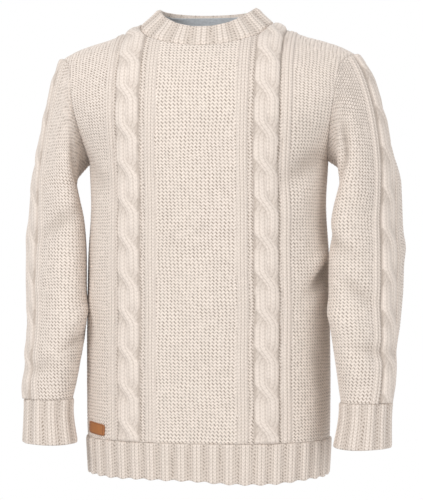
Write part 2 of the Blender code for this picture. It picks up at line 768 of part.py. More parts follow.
def leather_patch(panel, form):
    """A small patch made from the front's own points, moved out."""
    outside, along, up = panel["layers"][0], panel["along"], panel["up"]
    columns = list(range(PATCH_FIRST_COLUMN, PATCH_FIRST_COLUMN + 3))
    heights = np.array([PATCH_LOW, up[1, 0], PATCH_HIGH])
    points = []
    for height in heights:
        r = int(np.searchsorted(up[:, 0], height, side="right")) - 1
        t = (height - up[r, 0]) / (up[r + 1, 0] - up[r, 0])
        points.append(outside[r, columns] * (1 - t) + outside[r + 1, columns] * t)
    places = along[:1, columns] + 0 * heights[:, None]
    normals = form_at(form, "normals", heights[:, None] + 0 * places, places)
    low = np.array(points) + normals * PATCH_GAP
    wall("leather_patch", low + normals * PATCH_THICKNESS, low, LEATHER, strides=(1, 1), roughness=0.5)


def build():
    for thing in list(bpy.data.objects):
        bpy.data.objects.remove(thing)
    front_form, back_form = torso_form(-1), torso_form(1)
    front = torso_panel(
        "front_panel", front_form, FRONT_COLUMNS, FRONT_SHARES, FRONT_ROW, FRONT_FOLDS, front_relief
    )
    back = torso_panel("back_panel", back_form, BACK_COLUMNS, BACK_SHARES, BACK_ROW, BACK_FOLDS, None)
    for name, side, folds in (("left_sleeve", -1, LEFT_FOLDS), ("right_sleeve", 1, RIGHT_FOLDS)):
        sleeve(name, armhole_edge(front, back, side), side, folds)
    cuff("left_cuff", -1)
    cuff("right_cuff", 1)
    hem_rib("hem_rib_front", front_form)
    hem_rib("hem_rib_back", back_form)
    neck_lining(*neckband(neck_edge(front, back)))
    leather_patch(front, front_form)


build()
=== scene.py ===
"""The looks of a chunky cable-knit wool sweater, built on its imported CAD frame.

Metres, +Z up, the front faces -Y. Each knitted piece is a thin closed shell on its solid's form,
with its stitches, cables, knit columns, ribs and folds in its outer side.
"""

import math

import bmesh
import bpy
import numpy as np
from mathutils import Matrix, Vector


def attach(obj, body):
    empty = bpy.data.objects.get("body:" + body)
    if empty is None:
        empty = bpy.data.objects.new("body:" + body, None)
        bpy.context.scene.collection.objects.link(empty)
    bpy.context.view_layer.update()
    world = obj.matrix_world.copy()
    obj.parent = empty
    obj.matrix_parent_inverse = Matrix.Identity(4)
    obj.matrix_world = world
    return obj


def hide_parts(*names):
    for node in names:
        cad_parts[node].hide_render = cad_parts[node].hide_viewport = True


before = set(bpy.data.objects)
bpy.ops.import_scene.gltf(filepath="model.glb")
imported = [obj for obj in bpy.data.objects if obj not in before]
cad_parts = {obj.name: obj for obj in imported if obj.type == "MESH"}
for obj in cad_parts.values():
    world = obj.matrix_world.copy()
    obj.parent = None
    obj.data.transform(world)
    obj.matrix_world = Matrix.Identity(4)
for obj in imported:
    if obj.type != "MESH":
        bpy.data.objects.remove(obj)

bl_info = {
    "name": "Cable-Knit Sweater",
    "version": (1, 0, 0),
    "blender": (4, 5, 0),
    "location": "3D View > Sidebar > Sweater",
    "description": "Builds the looks of a cable-knit wool sweater",
    "category": "Add Mesh",
}

# Forms: points to a curve, the step of the torso's even grid and the half length of its rows
SAMPLES = 400
FORM_STEP = 0.0015
FORM_HALF = 0.300

# Grids: a panel's step in stitches, the front's stretch of finer columns with its step, the same for a
# sleeve, the sleeve's coarser columns on each side, columns to a rib, and outer steps to an inner one
PANEL_STEP = 0.38
FRONT_FINE = (0.0572, 0.1420)
FRONT_FINE_STEP = 0.0017
SLEEVE_FINE = 0.0345
SLEEVE_FINE_STEP = 0.0016
SLEEVE_REST = 70
RIB_COLUMNS = 16
INNER_STRIDE = 8

# Stitches: how far a purl row waves and how far a knit stitch's legs lean, in rows
WAVE = 0.25
VEE = 1.3

# A rope cable, in half widths: how far its strands swing, in what share of a repeat, half their width,
# how the upper one rises and the lower one sinks at a crossing, and the filling's height and reach
STRAND_SWING = 0.43
SWING_SPAN = 0.56
STRAND_HALF = 0.64
STRAND_RISE = 0.18
STRAND_SINK = 0.35
CABLE_BASE = 0.76
CABLE_REACH = 1.02

# How much of a knit stitch's painted shade the wool's colours show on a cable, from 0 to 1
CABLE_KNIT = 0.62

# Painted shade of the plain inner side, and how much darker cloth is painted at a seam and in a fold's
# trough.
# Lengths over which the painted shade at a seam and the folds beside it fade out, and the depth of a full
# trough
INNER_SHADE = 0.8
SEAM_SHADE = 0.15
TROUGH_SHADE = 0.36
SEAM_FADE = 0.003
FOLD_FADE = 0.030
TROUGH_DEPTH = 0.007

# The stage: the floor, what the lights aim at, and the camera's distance, width of view, sensor, turn to
# the viewer's right, and the level and sideways place of the middle of the view
FLOOR_RADIUS = 0.50
FLOOR_LEVEL = -0.86
LIT_POINT = (0, 0, -0.33)
CAMERA_DISTANCE = 2.5
CAMERA_VIEW = 0.7575
CAMERA_SENSOR = 36.0
CAMERA_TURN = math.radians(8.0)
VIEW_LEVEL = -0.338
VIEW_ASIDE = 0.0045


def length_property(name, description, default):
    return bpy.props.FloatProperty(name=name, description=description, default=default, unit="LENGTH")


def count_property(name, description, default):
    return bpy.props.IntProperty(name=name, description=description, default=default)


def color_property(name, description, default):
    return bpy.props.FloatVectorProperty(
        name=name, description=description, subtype="COLOR", size=3, default=default
    )


def power_property(name, default):
    return bpy.props.FloatProperty(name=name, description="Its power", default=default, unit="POWER")


class SweaterSizes(bpy.types.PropertyGroup):
    """Sizes of the garment, in metres."""

    wall: length_property("Wall", "Thickness of the knit", 0.0040)
    seam_gap: length_property("Seam gap", "Gap between pieces", 0.0003)
    hem_bottom: length_property("Hem", "Level of the hem", -0.672)
    hem_seam: length_property("Hem seam", "Level of the hem's seam", -0.618)
    armpit: length_property("Armpit", "Level of the armpits", -0.205)
    sleeve_top: length_property("Sleeve top", "Level of the sleeve's last whole ring", -0.240)
    cuff_seam: length_property("Cuff seam", "Level of the cuff's seam", -0.559)
    cuff_bottom: length_property("Cuff end", "Level of the cuff's open end", -0.624)
    neck_half: length_property("Neck half width", "Half width of the neck hole", 0.100)
    neck_front: length_property("Neck front drop", "How far the neck hole dips in front", 0.037)
    neck_back: length_property("Neck back drop", "How far the neck hole dips behind", 0.009)
    rim_half: length_property("Rim half width", "Half width of the band's rim", 0.0735)
    rim_front: length_property("Rim front", "Its reach ahead", 0.068)
    rim_back: length_property("Rim back", "Its reach behind", 0.057)
    rim_front_level: length_property("Rim front level", "Level of the rim in front", -0.008)
    rim_side_level: length_property("Rim side level", "Level of the rim at the sides", 0.027)
    rim_back_level: length_property("Rim back level", "Level of the rim behind", 0.025)
    cable_half: length_property("Cable half width", "Half width of a rope cable", 0.0175)
    cable_height: length_property("Cable height", "How far a cable stands out", 0.0055)
    cable_repeat: length_property("Cable repeat", "Length from crossing to crossing on the front", 0.0542)
    cable_first: length_property("First crossing", "Its height above the hem seam", 0.0203)
    sleeve_repeat: length_property("Sleeve repeat", "Length from crossing to crossing on a sleeve", 0.0610)
    sleeve_first: length_property("Sleeve's first crossing", "Its height above the cuff seam", 0.0018)
    cable_middle: length_property("Cable place", "From the front's centre line to a cable's", 0.103)
    column_height: length_property("Column height", "How far knit columns stand out", 0.0022)
    gutter_depth: length_property("Gutter depth", "Depth of the valley beside a cable", 0.0010)
    rib_height: length_property("Rib height", "Height of a rib", 0.0034)
    stitch_width: length_property("Stitch width", "Width of a purl stitch", 0.0057)
    stitch_rise: length_property("Stitch rise", "Height of a row of stitches", 0.00495)
    purl_height: length_property("Purl relief", "Height of a purl bump", 0.0013)
    knit_height: length_property("Knit relief", "Height of a knit stitch's legs", 0.0013)
    patch_along: length_property("Patch place", "From the front's centre line to the patch", -0.1705)
    patch_up: length_property("Patch level", "From the hem's seam up to its middle", 0.0150)
    patch_width: length_property("Patch width", "Width of the patch", 0.0430)
    patch_height: length_property("Patch height", "Height of the patch", 0.0170)
    patch_wall: length_property("Patch wall", "Thickness of its leather", 0.0013)
    hem_ribs: count_property("Hem ribs", "Ribs in half of the hem", 21)
    cuff_ribs: count_property("Cuff ribs", "Ribs in a cuff", 11)
    neck_ribs: count_property("Neck ribs", "Ribs in the neckband", 18)


class SweaterLooks(bpy.types.PropertyGroup):
    """Colours and light."""

    wool: color_property("Wool", "Raised yarn", (0.93, 0.826, 0.745))
    # Valley is a painted shade colour: the wool is mixed towards it in the gaps between stitches and where
    # a piece is painted darker
    valley: color_property("Valley", "Yarn between stitches", (0.35, 0.28, 0.225))
    fleck: color_property("Fleck", "Darker fibres of the heather", (0.55, 0.485, 0.43))
    fleece: color_property("Fleece", "Strip inside the neckband", (0.50, 0.53, 0.56))
    leather: color_property("Leather", "Patch", (0.43, 0.17, 0.055))
    thread: color_property("Thread", "Stitching on the patch", (0.30, 0.11, 0.04))
    floor: color_property("Floor", "Floor", (0.88, 0.88, 0.88))
    key: power_property("Key light", 35.0)
    fill: power_property("Fill light", 15.0)
    back: power_property("Back light", 16.0)
    sky: bpy.props.FloatProperty(
        name="Sky light", description="Strength of the light all round", default=0.62
    )


def sizes():
    return bpy.context.scene.sweater_sizes


def looks():
    return bpy.context.scene.sweater_looks


def table(columns, *rows):
    return dict(zip(columns.split(), np.array(rows, float).T))


# The torso's rings, from the hem up to the armpits and on over the chest
TORSO = table(
    "level half_width front back",
    (-0.690, 0.1790, 0.117, 0.112),
    (-0.618, 0.1830, 0.119, 0.111),
    (-0.560, 0.1840, 0.120, 0.108),
    (-0.460, 0.1835, 0.122, 0.105),
    (-0.350, 0.1820, 0.124, 0.104),
    (-0.265, 0.1775, 0.126, 0.105),
    (-0.205, 0.1810, 0.126, 0.106),
    (0.000, 0.1810, 0.126, 0.106),
)
TORSO_POWER = 2.3

# How far out the armhole's edge lies at each level
ARMHOLE = table(
    "level reach",
    (-0.205, 0.1810),
    (-0.190, 0.1825),
    (-0.170, 0.1850),
    (-0.140, 0.1890),
    (-0.100, 0.1945),
    (-0.050, 0.1995),
    (-0.020, 0.2070),
    (0.000, 0.2220),
)

# How far the shoulder line falls below the origin at each reach from the centre
SHOULDER = table(
    "reach drop",
    (0.000, 0.000),
    (0.085, 0.000),
    (0.100, 0.001),
    (0.127, 0.011),
    (0.150, 0.019),
    (0.178, 0.027),
    (0.203, 0.036),
    (0.224, 0.048),
    (0.240, 0.062),
    (0.300, 0.110),
)

# How the front (-1) and the back (1) round over the shoulder, and how far their armhole edges lie ahead
ROUND = {
    -1: {"height": 0.150, "power": 2.0, "armhole": 0.076},
    1: {"height": 0.100, "power": 3.0, "armhole": 0.070},
}

# The power of the armhole's curve below its middle, towards the armpit, and above it
ARMPIT_POINT = 0.72
ARMHOLE_POINT = 0.5

# The sleeve's rings: centre, half sizes across and fore and aft, and the turn of the front end inwards
SLEEVE = table(
    "level left_out right_out ahead half_width half_depth toe",
    (-0.640, 0.2270, 0.2350, -0.074, 0.0395, 0.0475, 25),
    (-0.559, 0.2320, 0.2410, -0.062, 0.0345, 0.0440, 25),
    (-0.540, 0.2310, 0.2410, -0.058, 0.0370, 0.0480, 25),
    (-0.500, 0.2280, 0.2400, -0.049, 0.0390, 0.0600, 25),
    (-0.470, 0.2265, 0.2390, -0.040, 0.0400, 0.0670, 28),
    (-0.440, 0.2270, 0.2385, -0.031, 0.0405, 0.0730, 30),
    (-0.390, 0.2310, 0.2395, -0.020, 0.0400, 0.0775, 32),
    (-0.340, 0.2330, 0.2395, -0.011, 0.0395, 0.0780, 32),
    (-0.290, 0.2345, 0.2405, -0.006, 0.0355, 0.0785, 31),
    (-0.240, 0.2380, 0.2450, -0.003, 0.0300, 0.0750, 28),
)

# How far the left (-1) and the right (1) sleeve swell on the way to the armhole
SWELL = {-1: 0.35, 1: 0.75}

# Folds: middle (along the row, up from the seam below), half sizes across and along the fold, lean
# from upright in degrees, and height
FRONT_FOLDS = table(
    "along up half_across half_along lean height",
    (0.205, 0.268, 0.012, 0.036, 62, 0.0060),
    (0.204, 0.238, 0.013, 0.034, 60, -0.0085),
    (0.172, 0.405, 0.018, 0.050, 62, -0.0060),
    (0.160, 0.350, 0.020, 0.050, 50, 0.0025),
    (-0.178, 0.393, 0.020, 0.045, -58, -0.0045),
    (-0.190, 0.198, 0.014, 0.060, 15, 0.0030),
    (0.195, 0.098, 0.016, 0.060, -12, -0.0030),
    (0.020, 0.138, 0.030, 0.090, 8, 0.0020),
    (-0.050, 0.318, 0.025, 0.100, -8, -0.0020),
)
BACK_FOLDS = table(
    "along up half_across half_along lean height",
    (0.180, 0.388, 0.018, 0.050, 60, -0.0045),
    (-0.180, 0.378, 0.018, 0.050, -60, -0.0045),
    (0.060, 0.158, 0.026, 0.100, 10, 0.0035),
    (-0.080, 0.218, 0.028, 0.110, -8, -0.0035),
    (0.170, 0.148, 0.018, 0.070, -14, 0.0030),
    (0.000, 0.478, 0.020, 0.060, 88, -0.0025),
)
RIGHT_FOLDS = table(
    "along up half_across half_along lean height",
    (-0.098, 0.372, 0.014, 0.038, 8, -0.0090),
    (-0.122, 0.352, 0.013, 0.036, 14, 0.0030),
    (-0.070, 0.320, 0.016, 0.040, -55, 0.0035),
    (-0.100, 0.235, 0.014, 0.045, -62, -0.0050),
    (-0.090, 0.122, 0.014, 0.050, -66, 0.0045),
    (-0.060, 0.165, 0.013, 0.040, -58, -0.0045),
    (-0.030, 0.077, 0.012, 0.050, -80, -0.0045),
    (0.090, 0.087, 0.014, 0.060, 82, -0.0045),
    (0.070, 0.237, 0.016, 0.060, 60, 0.0035),
)
LEFT_FOLDS = table(
    "along up half_across half_along lean height",
    (-0.120, 0.350, 0.014, 0.040, 8, -0.0050),
    (-0.110, 0.127, 0.013, 0.035, -60, 0.0045),
    (-0.100, 0.087, 0.012, 0.035, -66, -0.0045),
    (-0.070, 0.267, 0.015, 0.050, -62, -0.0050),
    (-0.060, 0.190, 0.014, 0.045, -60, 0.0040),
    (-0.030, 0.047, 0.012, 0.045, -80, -0.0040),
    (0.090, 0.097, 0.014, 0.060, 82, -0.0045),
    (0.070, 0.267, 0.016, 0.060, 60, 0.0035),
)

# Knit columns: limits from the cable's or the front's centre line, and how many stitches wide
FRONT_BANDS = table("start end stitches", (0.0600, 0.0755, 3), (0.1275, 0.1395, 2))
SLEEVE_BANDS = table("start end stitches", (0.0215, 0.0335, 2))


def smooth(source, key, column, at):
    """A smooth curve through one column of a table."""
    x, y = source[key], source[column]
    at = np.clip(np.asarray(at, float), x[0], x[-1])
    slope = np.gradient(y, x)
    i = np.clip(np.searchsorted(x, at) - 1, 0, len(x) - 2)
    span = x[i + 1] - x[i]
    t = (at - x[i]) / span
    start = t * (1 - t) ** 2 * span * slope[i]
    end = t * t * (1 - t) * span * slope[i + 1]
    return y[i] + t * t * (3 - 2 * t) * (y[i + 1] - y[i]) + start - end


def ease(t):
    t = np.clip(t, 0, 1)
    return t * t * (3 - 2 * t)


def unit(vectors):
    return vectors / np.maximum(np.linalg.norm(vectors, axis=-1, keepdims=True), 1e-12)


def lengths(points):
    """The distance covered along a row of points, starting from 0."""
    return np.concatenate([[0], np.cumsum(np.linalg.norm(np.diff(points, axis=0), axis=1))])


def at_lengths(points, covered, places):
    return np.stack([np.interp(places, covered, points[:, k]) for k in range(3)], axis=1)


def spaced(start, end, step):
    """Even places from start to end, about a step apart."""
    return np.linspace(start, end, max(round(abs(end - start) / step), 1) + 1)


# The torso's form


def torso_row(level, face):
    """Half a row of the torso, from its centre line out, and the length to its edge."""
    s = sizes()
    rounding = ROUND[face]
    level = min(level, -1e-6)
    low = min(-level / rounding["height"], 1)
    depth = smooth(TORSO, "level", "front" if face < 0 else "back", level)
    depth = depth * (1 - (1 - low) ** rounding["power"]) ** (1 / rounding["power"])
    half_width = smooth(TORSO, "level", "half_width", level)
    reach = half_width
    if level > s.armpit:
        reach = smooth(ARMHOLE, "level", "reach", level)
        from_middle = (level - s.armpit / 2) / (s.armpit / 2)
        bend = ARMHOLE_POINT if from_middle < 0 else ARMPIT_POINT
        ahead = rounding["armhole"] * (1 - min(from_middle**2, 1)) ** bend
        turn = min(ahead / depth, 0.9)
        half_width = reach / (1 - turn**TORSO_POWER) ** (1 / TORSO_POWER)
    angle = np.linspace(0, math.pi / 2, SAMPLES)
    x = half_width * np.sin(angle) ** (2 / TORSO_POWER)
    y = face * depth * np.abs(np.cos(angle)) ** (2 / TORSO_POWER)
    share = ease((level - s.armpit) / -s.armpit)
    z = level - share * smooth(SHOULDER, "reach", "drop", x)
    points = np.stack([x, y, z], axis=1)
    edge = float(np.interp(reach, x, lengths(points)))
    beyond = points[-1] + (0, -face * FORM_HALF, 0)
    return np.concatenate([points, [beyond]]), edge


def torso_form(face):
    """The torso's front (-1) or back (1) over even steps up the cloth and along its rows."""
    s = sizes()
    bend = np.linspace(1, 0, SAMPLES) ** 2
    levels = np.concatenate([np.linspace(-0.69, -0.15, SAMPLES), -0.15 * bend[1:]])
    rows = [torso_row(level, face) for level in levels]
    middle = np.array([at_lengths(row, lengths(row), [0.12])[0] for row, _ in rows])
    up = lengths(middle)
    up -= np.interp(s.hem_seam, levels, up)
    ups = np.linspace(up[0], up[-1], round((up[-1] - up[0]) / FORM_STEP))
    form_levels = np.interp(ups, up, levels)
    places = np.arange(-FORM_HALF, FORM_HALF + FORM_STEP / 2, FORM_STEP)
    points, edges = [], []
    for level in form_levels:
        row, edge = torso_row(level, face)
        found = at_lengths(row, lengths(row), np.abs(places))
        found[:, 0] *= np.where(places < 0, -1, 1)
        points.append(found)
        edges.append(edge)
    points = np.array(points)
    across = np.gradient(points, axis=1)
    normals = unit(np.cross(across, np.gradient(points, axis=0)) * -face)
    form = {"face": face, "ups": ups, "levels": form_levels, "places": places}
    return form | {"edges": np.array(edges), "points": points, "normals": normals}


def form_at(form, layer, up, along):
    """One layer of a form at these heights up the cloth and lengths along its rows."""
    grid = form[layer]
    r = np.clip((up - form["ups"][0]) / (form["ups"][1] - form["ups"][0]), 0, grid.shape[0] - 1.001)
    c = np.clip((along - form["places"][0]) / FORM_STEP, 0, grid.shape[1] - 1.001)
    i, j = r.astype(int), c.astype(int)
    a, b = (r - i)[..., None], (c - j)[..., None]
    low = grid[i, j] * (1 - b) + grid[i, j + 1] * b
    high = grid[i + 1, j] * (1 - b) + grid[i + 1, j + 1] * b
    return low * (1 - a) + high * a


def surface_at(form, up, along):
    """Points of a form and the directions out of it, not yet of length 1."""
    return form_at(form, "points", up, along), form_at(form, "normals", up, along)


def form_edge(form, up):
    return np.interp(up, form["ups"], form["edges"])


def fold_height(folds, along, up):
    """The height of all folds at places along the rows and up the piece."""
    height = np.zeros(np.broadcast(along, up).shape)
    for k in range(len(folds["along"])):
        lean = math.radians(folds["lean"][k])
        dx = along - folds["along"][k]
        dz = up - folds["up"][k]
        across = (dx * math.cos(lean) - dz * math.sin(lean)) / folds["half_across"][k]
        run = (dx * math.sin(lean) + dz * math.cos(lean)) / folds["half_along"][k]
        height += folds["height"][k] * np.exp(-across * across - run * run)
    return height


# Stitches. purl and knit return a height from about 0 to 1 and the place in stitches, with a third number
# for how much of a knit stitch shows: 0 on reverse stockinette and 1 on knit columns. The wool's painted
# shade between stitches reads that place.


def uneven(a, b, seed):
    """A slow hand-knit unevenness from about -1 to 1."""
    first = np.sin(a * 0.83 + b * 0.31 + seed)
    second = np.sin(b * 0.71 - a * 0.23 + 2 * seed)
    return (first + second + np.sin(a * 0.37 - b * 0.47)) / 3


def purl(along, up):
    """Reverse stockinette: rows of waves, with a short deep dash where each wave falls to the right."""
    s = sizes()
    u, v = along / s.stitch_width, up / s.stitch_rise
    u, v = u + 0.24 * uneven(0.6 * u, 0.6 * v, 1.0), v + 0.24 * uneven(0.5 * u, 0.7 * v, 4.0)
    u, v = u + 0.10 * uneven(2.1 * u, 1.7 * v, 6.0), v + 0.12 * uneven(1.9 * u, 1.3 * v, 2.0)
    wave = WAVE * np.sin(2 * math.pi * u)
    ridge = 0.5 + 0.5 * np.cos(2 * math.pi * (v - wave))
    falling = 0.5 - 0.5 * np.cos(2 * math.pi * u)
    height = ridge**0.8 - 0.45 * (1 - ridge) ** 1.5 * falling
    return height, np.stack([u, v, 0 * u * v], axis=-1)


def knit(column, up):
    """Knit columns, one for each whole number: two legs that meet in a row of Vs."""
    s = sizes()
    x = column - np.round(column)
    v = up / s.stitch_rise + 0.25 * uneven(1.7 * np.round(column), 0.4 * up / s.stitch_rise, 2.0)
    bead = 0.5 + 0.5 * np.cos(2 * math.pi * (v - VEE * np.abs(x)))
    height = np.cos(math.pi * x) ** 1.4 * (0.70 + 0.30 * bead) - 0.18 * np.exp(-((x / 0.09) ** 2))
    return height, np.stack([column, v, 1 + 0 * v], axis=-1)


def strands(across, up, first, repeat):
    """A rope cable's height, the place across the strand that shows, how far that strand lies under the
    other one as painted shadow with a painted crescent where they cross, and 0 to 1 from its edge in."""
    s = sizes()
    phase = (up - first) / repeat
    phase = phase - np.round(phase)
    u = across / s.cable_half
    swing = STRAND_SWING * np.sin(math.pi * np.clip(phase / SWING_SPAN, -0.5, 0.5))
    lift = np.cos(math.pi * phase) ** 2
    over, under = (u + swing) / STRAND_HALF, (u - swing) / STRAND_HALF
    top = (1 + STRAND_RISE * lift) * np.sqrt(np.clip(1 - over**2, 0, 1))
    low = (1 - STRAND_SINK * lift) * np.sqrt(np.clip(1 - under**2, 0, 1))
    base = CABLE_BASE * np.sqrt(np.clip(1 - (u / CABLE_REACH) ** 4, 0, 1))
    upper = top >= np.maximum(low, base)
    place = np.where(upper, over, under)
    # Painted shadow: a dark crescent where the upper strand meets the lower one, mostly on the left, added
    # to the painted shade of the strand that lies under
    crossing = np.exp(-(((top - np.maximum(low, base)) / 0.10) ** 2)) * ease((0.35 - u) / 0.5)
    under_shadow = np.maximum(np.where(upper, 0, lift), 2.4 * crossing * lift)
    edge = np.where(upper, 1 - over**2, np.maximum(1 - under**2, 0.35 * (1 - u**4)))
    return np.maximum(np.maximum(top, low), base), place, under_shadow, np.clip(edge, 0, 1)


def cable_layers(across, up, first, repeat):
    """Height in metres and painted shade of a cable, where it covers the cloth, its gutters from 0 to 1 and
    its stitches."""
    s = sizes()
    rope, place, under_shadow, edge = strands(across, up, first, repeat)
    inside = np.abs(across) < s.cable_half * CABLE_REACH
    stitch, where = knit(place * 1.5, up * 0.9 + 0.004 * place)
    where[..., 2] = CABLE_KNIT
    height = s.cable_height * rope + 0.3 * s.knit_height * (stitch - 0.5) * ease(edge * 3)
    # Painted shade: each strand darker towards its edges and under the other strand
    shade = (0.60 + 0.36 * ease(edge * 4)) * (1 - 0.24 * under_shadow)
    middle = s.cable_half + 0.0012 + 0.0005 * uneven(up * 260, across * 60, 5.0)
    gutter = np.exp(-(((np.abs(across) - middle) / 0.0014) ** 2))
    gutter = gutter * (0.70 + 0.30 * uneven(up * 410, np.sign(across) * 3, 7.0))
    return height, shade, inside, gutter, where


def band_layers(side, bands, up):
    """Height in metres and stitches of the bands of knit columns, and where they lie."""
    s = sizes()
    height = np.zeros_like(side)
    where = np.zeros((*side.shape, 3))
    inside = np.zeros(side.shape, bool)
    for k in range(len(bands["start"])):
        start, end = bands["start"][k], bands["end"][k]
        here = (side > start) & (side < end)
        middle, half = (start + end) / 2, (end - start) / 2
        body = s.column_height * np.sqrt(np.clip(1 - ((side - middle) / half) ** 4, 0, 1))
        stitch, place = knit((side - start) / (end - start) * bands["stitches"][k] - 0.5, up)
        height = np.where(here, body + s.knit_height * (stitch - 0.6), height)
        where = np.where(here[..., None], place, where)
        inside |= here
    return height, where, inside


def patterned(across, side, up, bands, first, repeat, along):
    """Relief in metres, painted shade and stitches of cloth with a cable, knit columns and reverse
    stockinette.
    """
    s = sizes()
    stitch, where = purl(along, up)
    height = s.purl_height * (stitch - 0.5)
    rope, rope_shade, on_rope, gutter, rope_where = cable_layers(across, up, first, repeat)
    columns, column_where, on_columns = band_layers(side, bands, up)
    height = np.where(on_columns, columns, height) - s.gutter_depth * gutter
    # Painted shade: purl a little darker beside the cable and darker still in its gutters, on top of their
    # real dip
    beside = ease((s.cable_half + 0.0115 - np.abs(across)) / 0.004)
    shade = np.where(on_columns, 1.0, 1 - 0.10 * beside) * (1 - 0.55 * gutter)
    where = np.where(on_columns[..., None], column_where, where)
    height = np.where(on_rope, np.maximum(rope, height), height)
    where = np.where(on_rope[..., None], rope_where, where)
    return height, np.where(on_rope, rope_shade, shade), where


def front_relief(along, up):
    s = sizes()
    along = along + (0.0015 + 0.0012 * uneven(up * 50, 0, 3.0)) * ease((0.15 - np.abs(along)) / 0.02)
    side = np.abs(along)
    across = (side - s.cable_middle) * np.where(along < 0, -1, 1)
    return patterned(across, side, up, FRONT_BANDS, s.cable_first, s.cable_repeat, along)


def back_relief(along, up):
    stitch, where = purl(along + 0.002, up)
    return sizes().purl_height * (stitch - 0.5), np.ones_like(stitch), where


def sleeve_relief(across, up):
    s = sizes()
    return patterned(across, np.abs(across), up, SLEEVE_BANDS, s.sleeve_first, s.sleeve_repeat, across)


def rib_relief(turns, up):
    """Ribs of two knit columns with purl valleys between them, one for each whole turn."""
    s = sizes()
    wave = (0.5 + 0.5 * np.cos(2 * math.pi * turns)) ** 0.7
    stitch, column = knit(turns * 4 + 0.5, up)
    bump, place = purl(turns * 4 * s.stitch_width, up)
    on_rib = ease((wave - 0.25) / 0.3)
    height = s.rib_height * wave + s.knit_height * (stitch - 0.5) * on_rib
    height += 0.6 * s.purl_height * (bump - 0.5) * (1 - on_rib)
    where = np.where((wave > 0.42)[..., None], column, place)
    # Painted shade: the purl valleys between the ribs are darker
    return height, 0.66 + 0.34 * on_rib, where


# Meshes


def sheet_mesh(points, shade, where):
    """An open grid of these points, with its painted shade and its place in stitches, from the grid
    operator.
    """
    rows, columns = points.shape[:2]
    bm = bmesh.new()
    bmesh.ops.create_grid(bm, x_segments=columns - 1, y_segments=rows - 1, size=1.0)
    mesh = bpy.data.meshes.new("grid")
    bm.to_mesh(mesh)
    bm.free()
    place = np.empty(len(mesh.vertices) * 3)
    mesh.vertices.foreach_get("co", place)
    place = place.reshape(-1, 3)
    c = np.round((place[:, 0] + 1) / 2 * (columns - 1)).astype(int)
    r = np.round((place[:, 1] + 1) / 2 * (rows - 1)).astype(int)
    mesh.vertices.foreach_set("co", points[r, c].ravel())
    for name, values in (("shade", shade), ("knit", where[..., 2])):
        data = mesh.attributes.new(name, "FLOAT", "POINT").data
        data.foreach_set("value", values[r, c].astype(np.float32))
    corner = np.empty(len(mesh.loops), int)
    mesh.loops.foreach_get("vertex_index", corner)
    place = where[r, c, :2][corner].astype(np.float32)
    mesh.uv_layers.new(name="Knit").data.foreach_set("uv", place.ravel())
    return mesh


def shell(name, outside, inside, shade, where, material, tube=False, stride=INNER_STRIDE):
    """A closed thin shell: a fine outer grid and a coarser inner one, bridged along their rims.
    A tube's last column repeats its first."""
    rows, columns = outside.shape[:2]
    for layer in (outside, inside, shade) if tube else ():
        layer[:, 0] = layer[:, -1] = (layer[:, 0] + layer[:, -1]) / 2
    keep_rows = sorted({*range(0, rows, stride), rows - 1})
    ends = (0, columns // 2) if tube else (0, columns - 1)
    keep_columns = sorted({*range(0, columns, stride), *ends, columns - 1})
    pick = np.ix_(keep_rows, keep_columns)
    outer = sheet_mesh(outside, shade, where)
    # The inner side gets an even painted shade
    inner = sheet_mesh(inside[pick], 0 * shade[pick] + INNER_SHADE, where[pick])
    whole = bmesh.new()
    for mesh in (outer, inner):
        bm = bmesh.new()
        bm.from_mesh(mesh)
        bmesh.ops.remove_doubles(bm, verts=bm.verts, dist=1e-5)
        bmesh.ops.dissolve_degenerate(bm, edges=bm.edges, dist=1e-6)
        bm.to_mesh(mesh)
        bm.free()
        whole.from_mesh(mesh)
        bpy.data.meshes.remove(mesh)
    rims = [edge for edge in whole.edges if edge.is_boundary]
    corners = [side[r, c] for side in (outside, inside) for r in (0, -1) for c in ends]
    for pair in paired_rims(rims, corners):
        bmesh.ops.bridge_loops(whole, edges=pair)
    bmesh.ops.recalc_face_normals(whole, faces=whole.faces)
    mesh = bpy.data.meshes.new(name)
    whole.to_mesh(mesh)
    whole.free()
    mesh.shade_smooth()
    mesh.materials.append(material)
    obj = bpy.data.objects.new(name, mesh)
    bpy.context.scene.collection.objects.link(obj)
    return obj


def paired_rims(rims, ends):
    """The open rims, cut at these ends, in pairs: each run with the one whose middle is nearest."""
    verts = list({vert for edge in rims for vert in edge.verts})
    stops = {min(verts, key=lambda vert: (vert.co - Vector(end)).length) for end in ends}
    left = set(rims)
    runs = []
    while left:
        stack = [left.pop()]
        run = []
        while stack:
            edge = stack.pop()
            run.append(edge)
            around = {other for vert in edge.verts if vert not in stops for other in vert.link_edges}
            stack.extend(around & left)
            left -= around
        runs.append(run)
    pairs = []
    while runs:
        run = runs.pop()
        centre = middle_of(run)
        mate = min(runs, key=lambda other: (middle_of(other) - centre).length)
        runs.remove(mate)
        pairs.append(run + mate)
    return pairs


def middle_of(edges):
    return sum((vert.co for edge in edges for vert in edge.verts), Vector()) / (2 * len(edges))


def tube_normals(points):
    """Outward normals of a grid whose last column repeats its first."""
    ring = points[:, :-1]
    across = np.roll(ring, -1, axis=1) - np.roll(ring, 1, axis=1)
    normals = unit(np.cross(across, np.gradient(ring, axis=0)))
    out = ((ring - ring.mean(axis=1, keepdims=True)) * normals).sum(axis=-1)
    normals = normals * np.where(np.median(out) < 0, -1, 1)
    return np.concatenate([normals, normals[:, :1]], axis=1)


# Pieces


def neck_level(form, along):
    """The level of the neck's edge at these lengths along the row, 0 on the shoulder."""
    s = sizes()
    drop = s.neck_front if form["face"] < 0 else s.neck_back
    return -drop * np.sqrt(np.clip(1 - (along / s.neck_half) ** 2, 0, 1))


def panel_top(form, along):
    """How far up the cloth a panel reaches: to the neck's edge, and beside it to the shoulder."""
    neck = np.interp(neck_level(form, along), form["levels"], form["ups"])
    return np.where(np.abs(along) < sizes().neck_half, neck, form["ups"][-1])


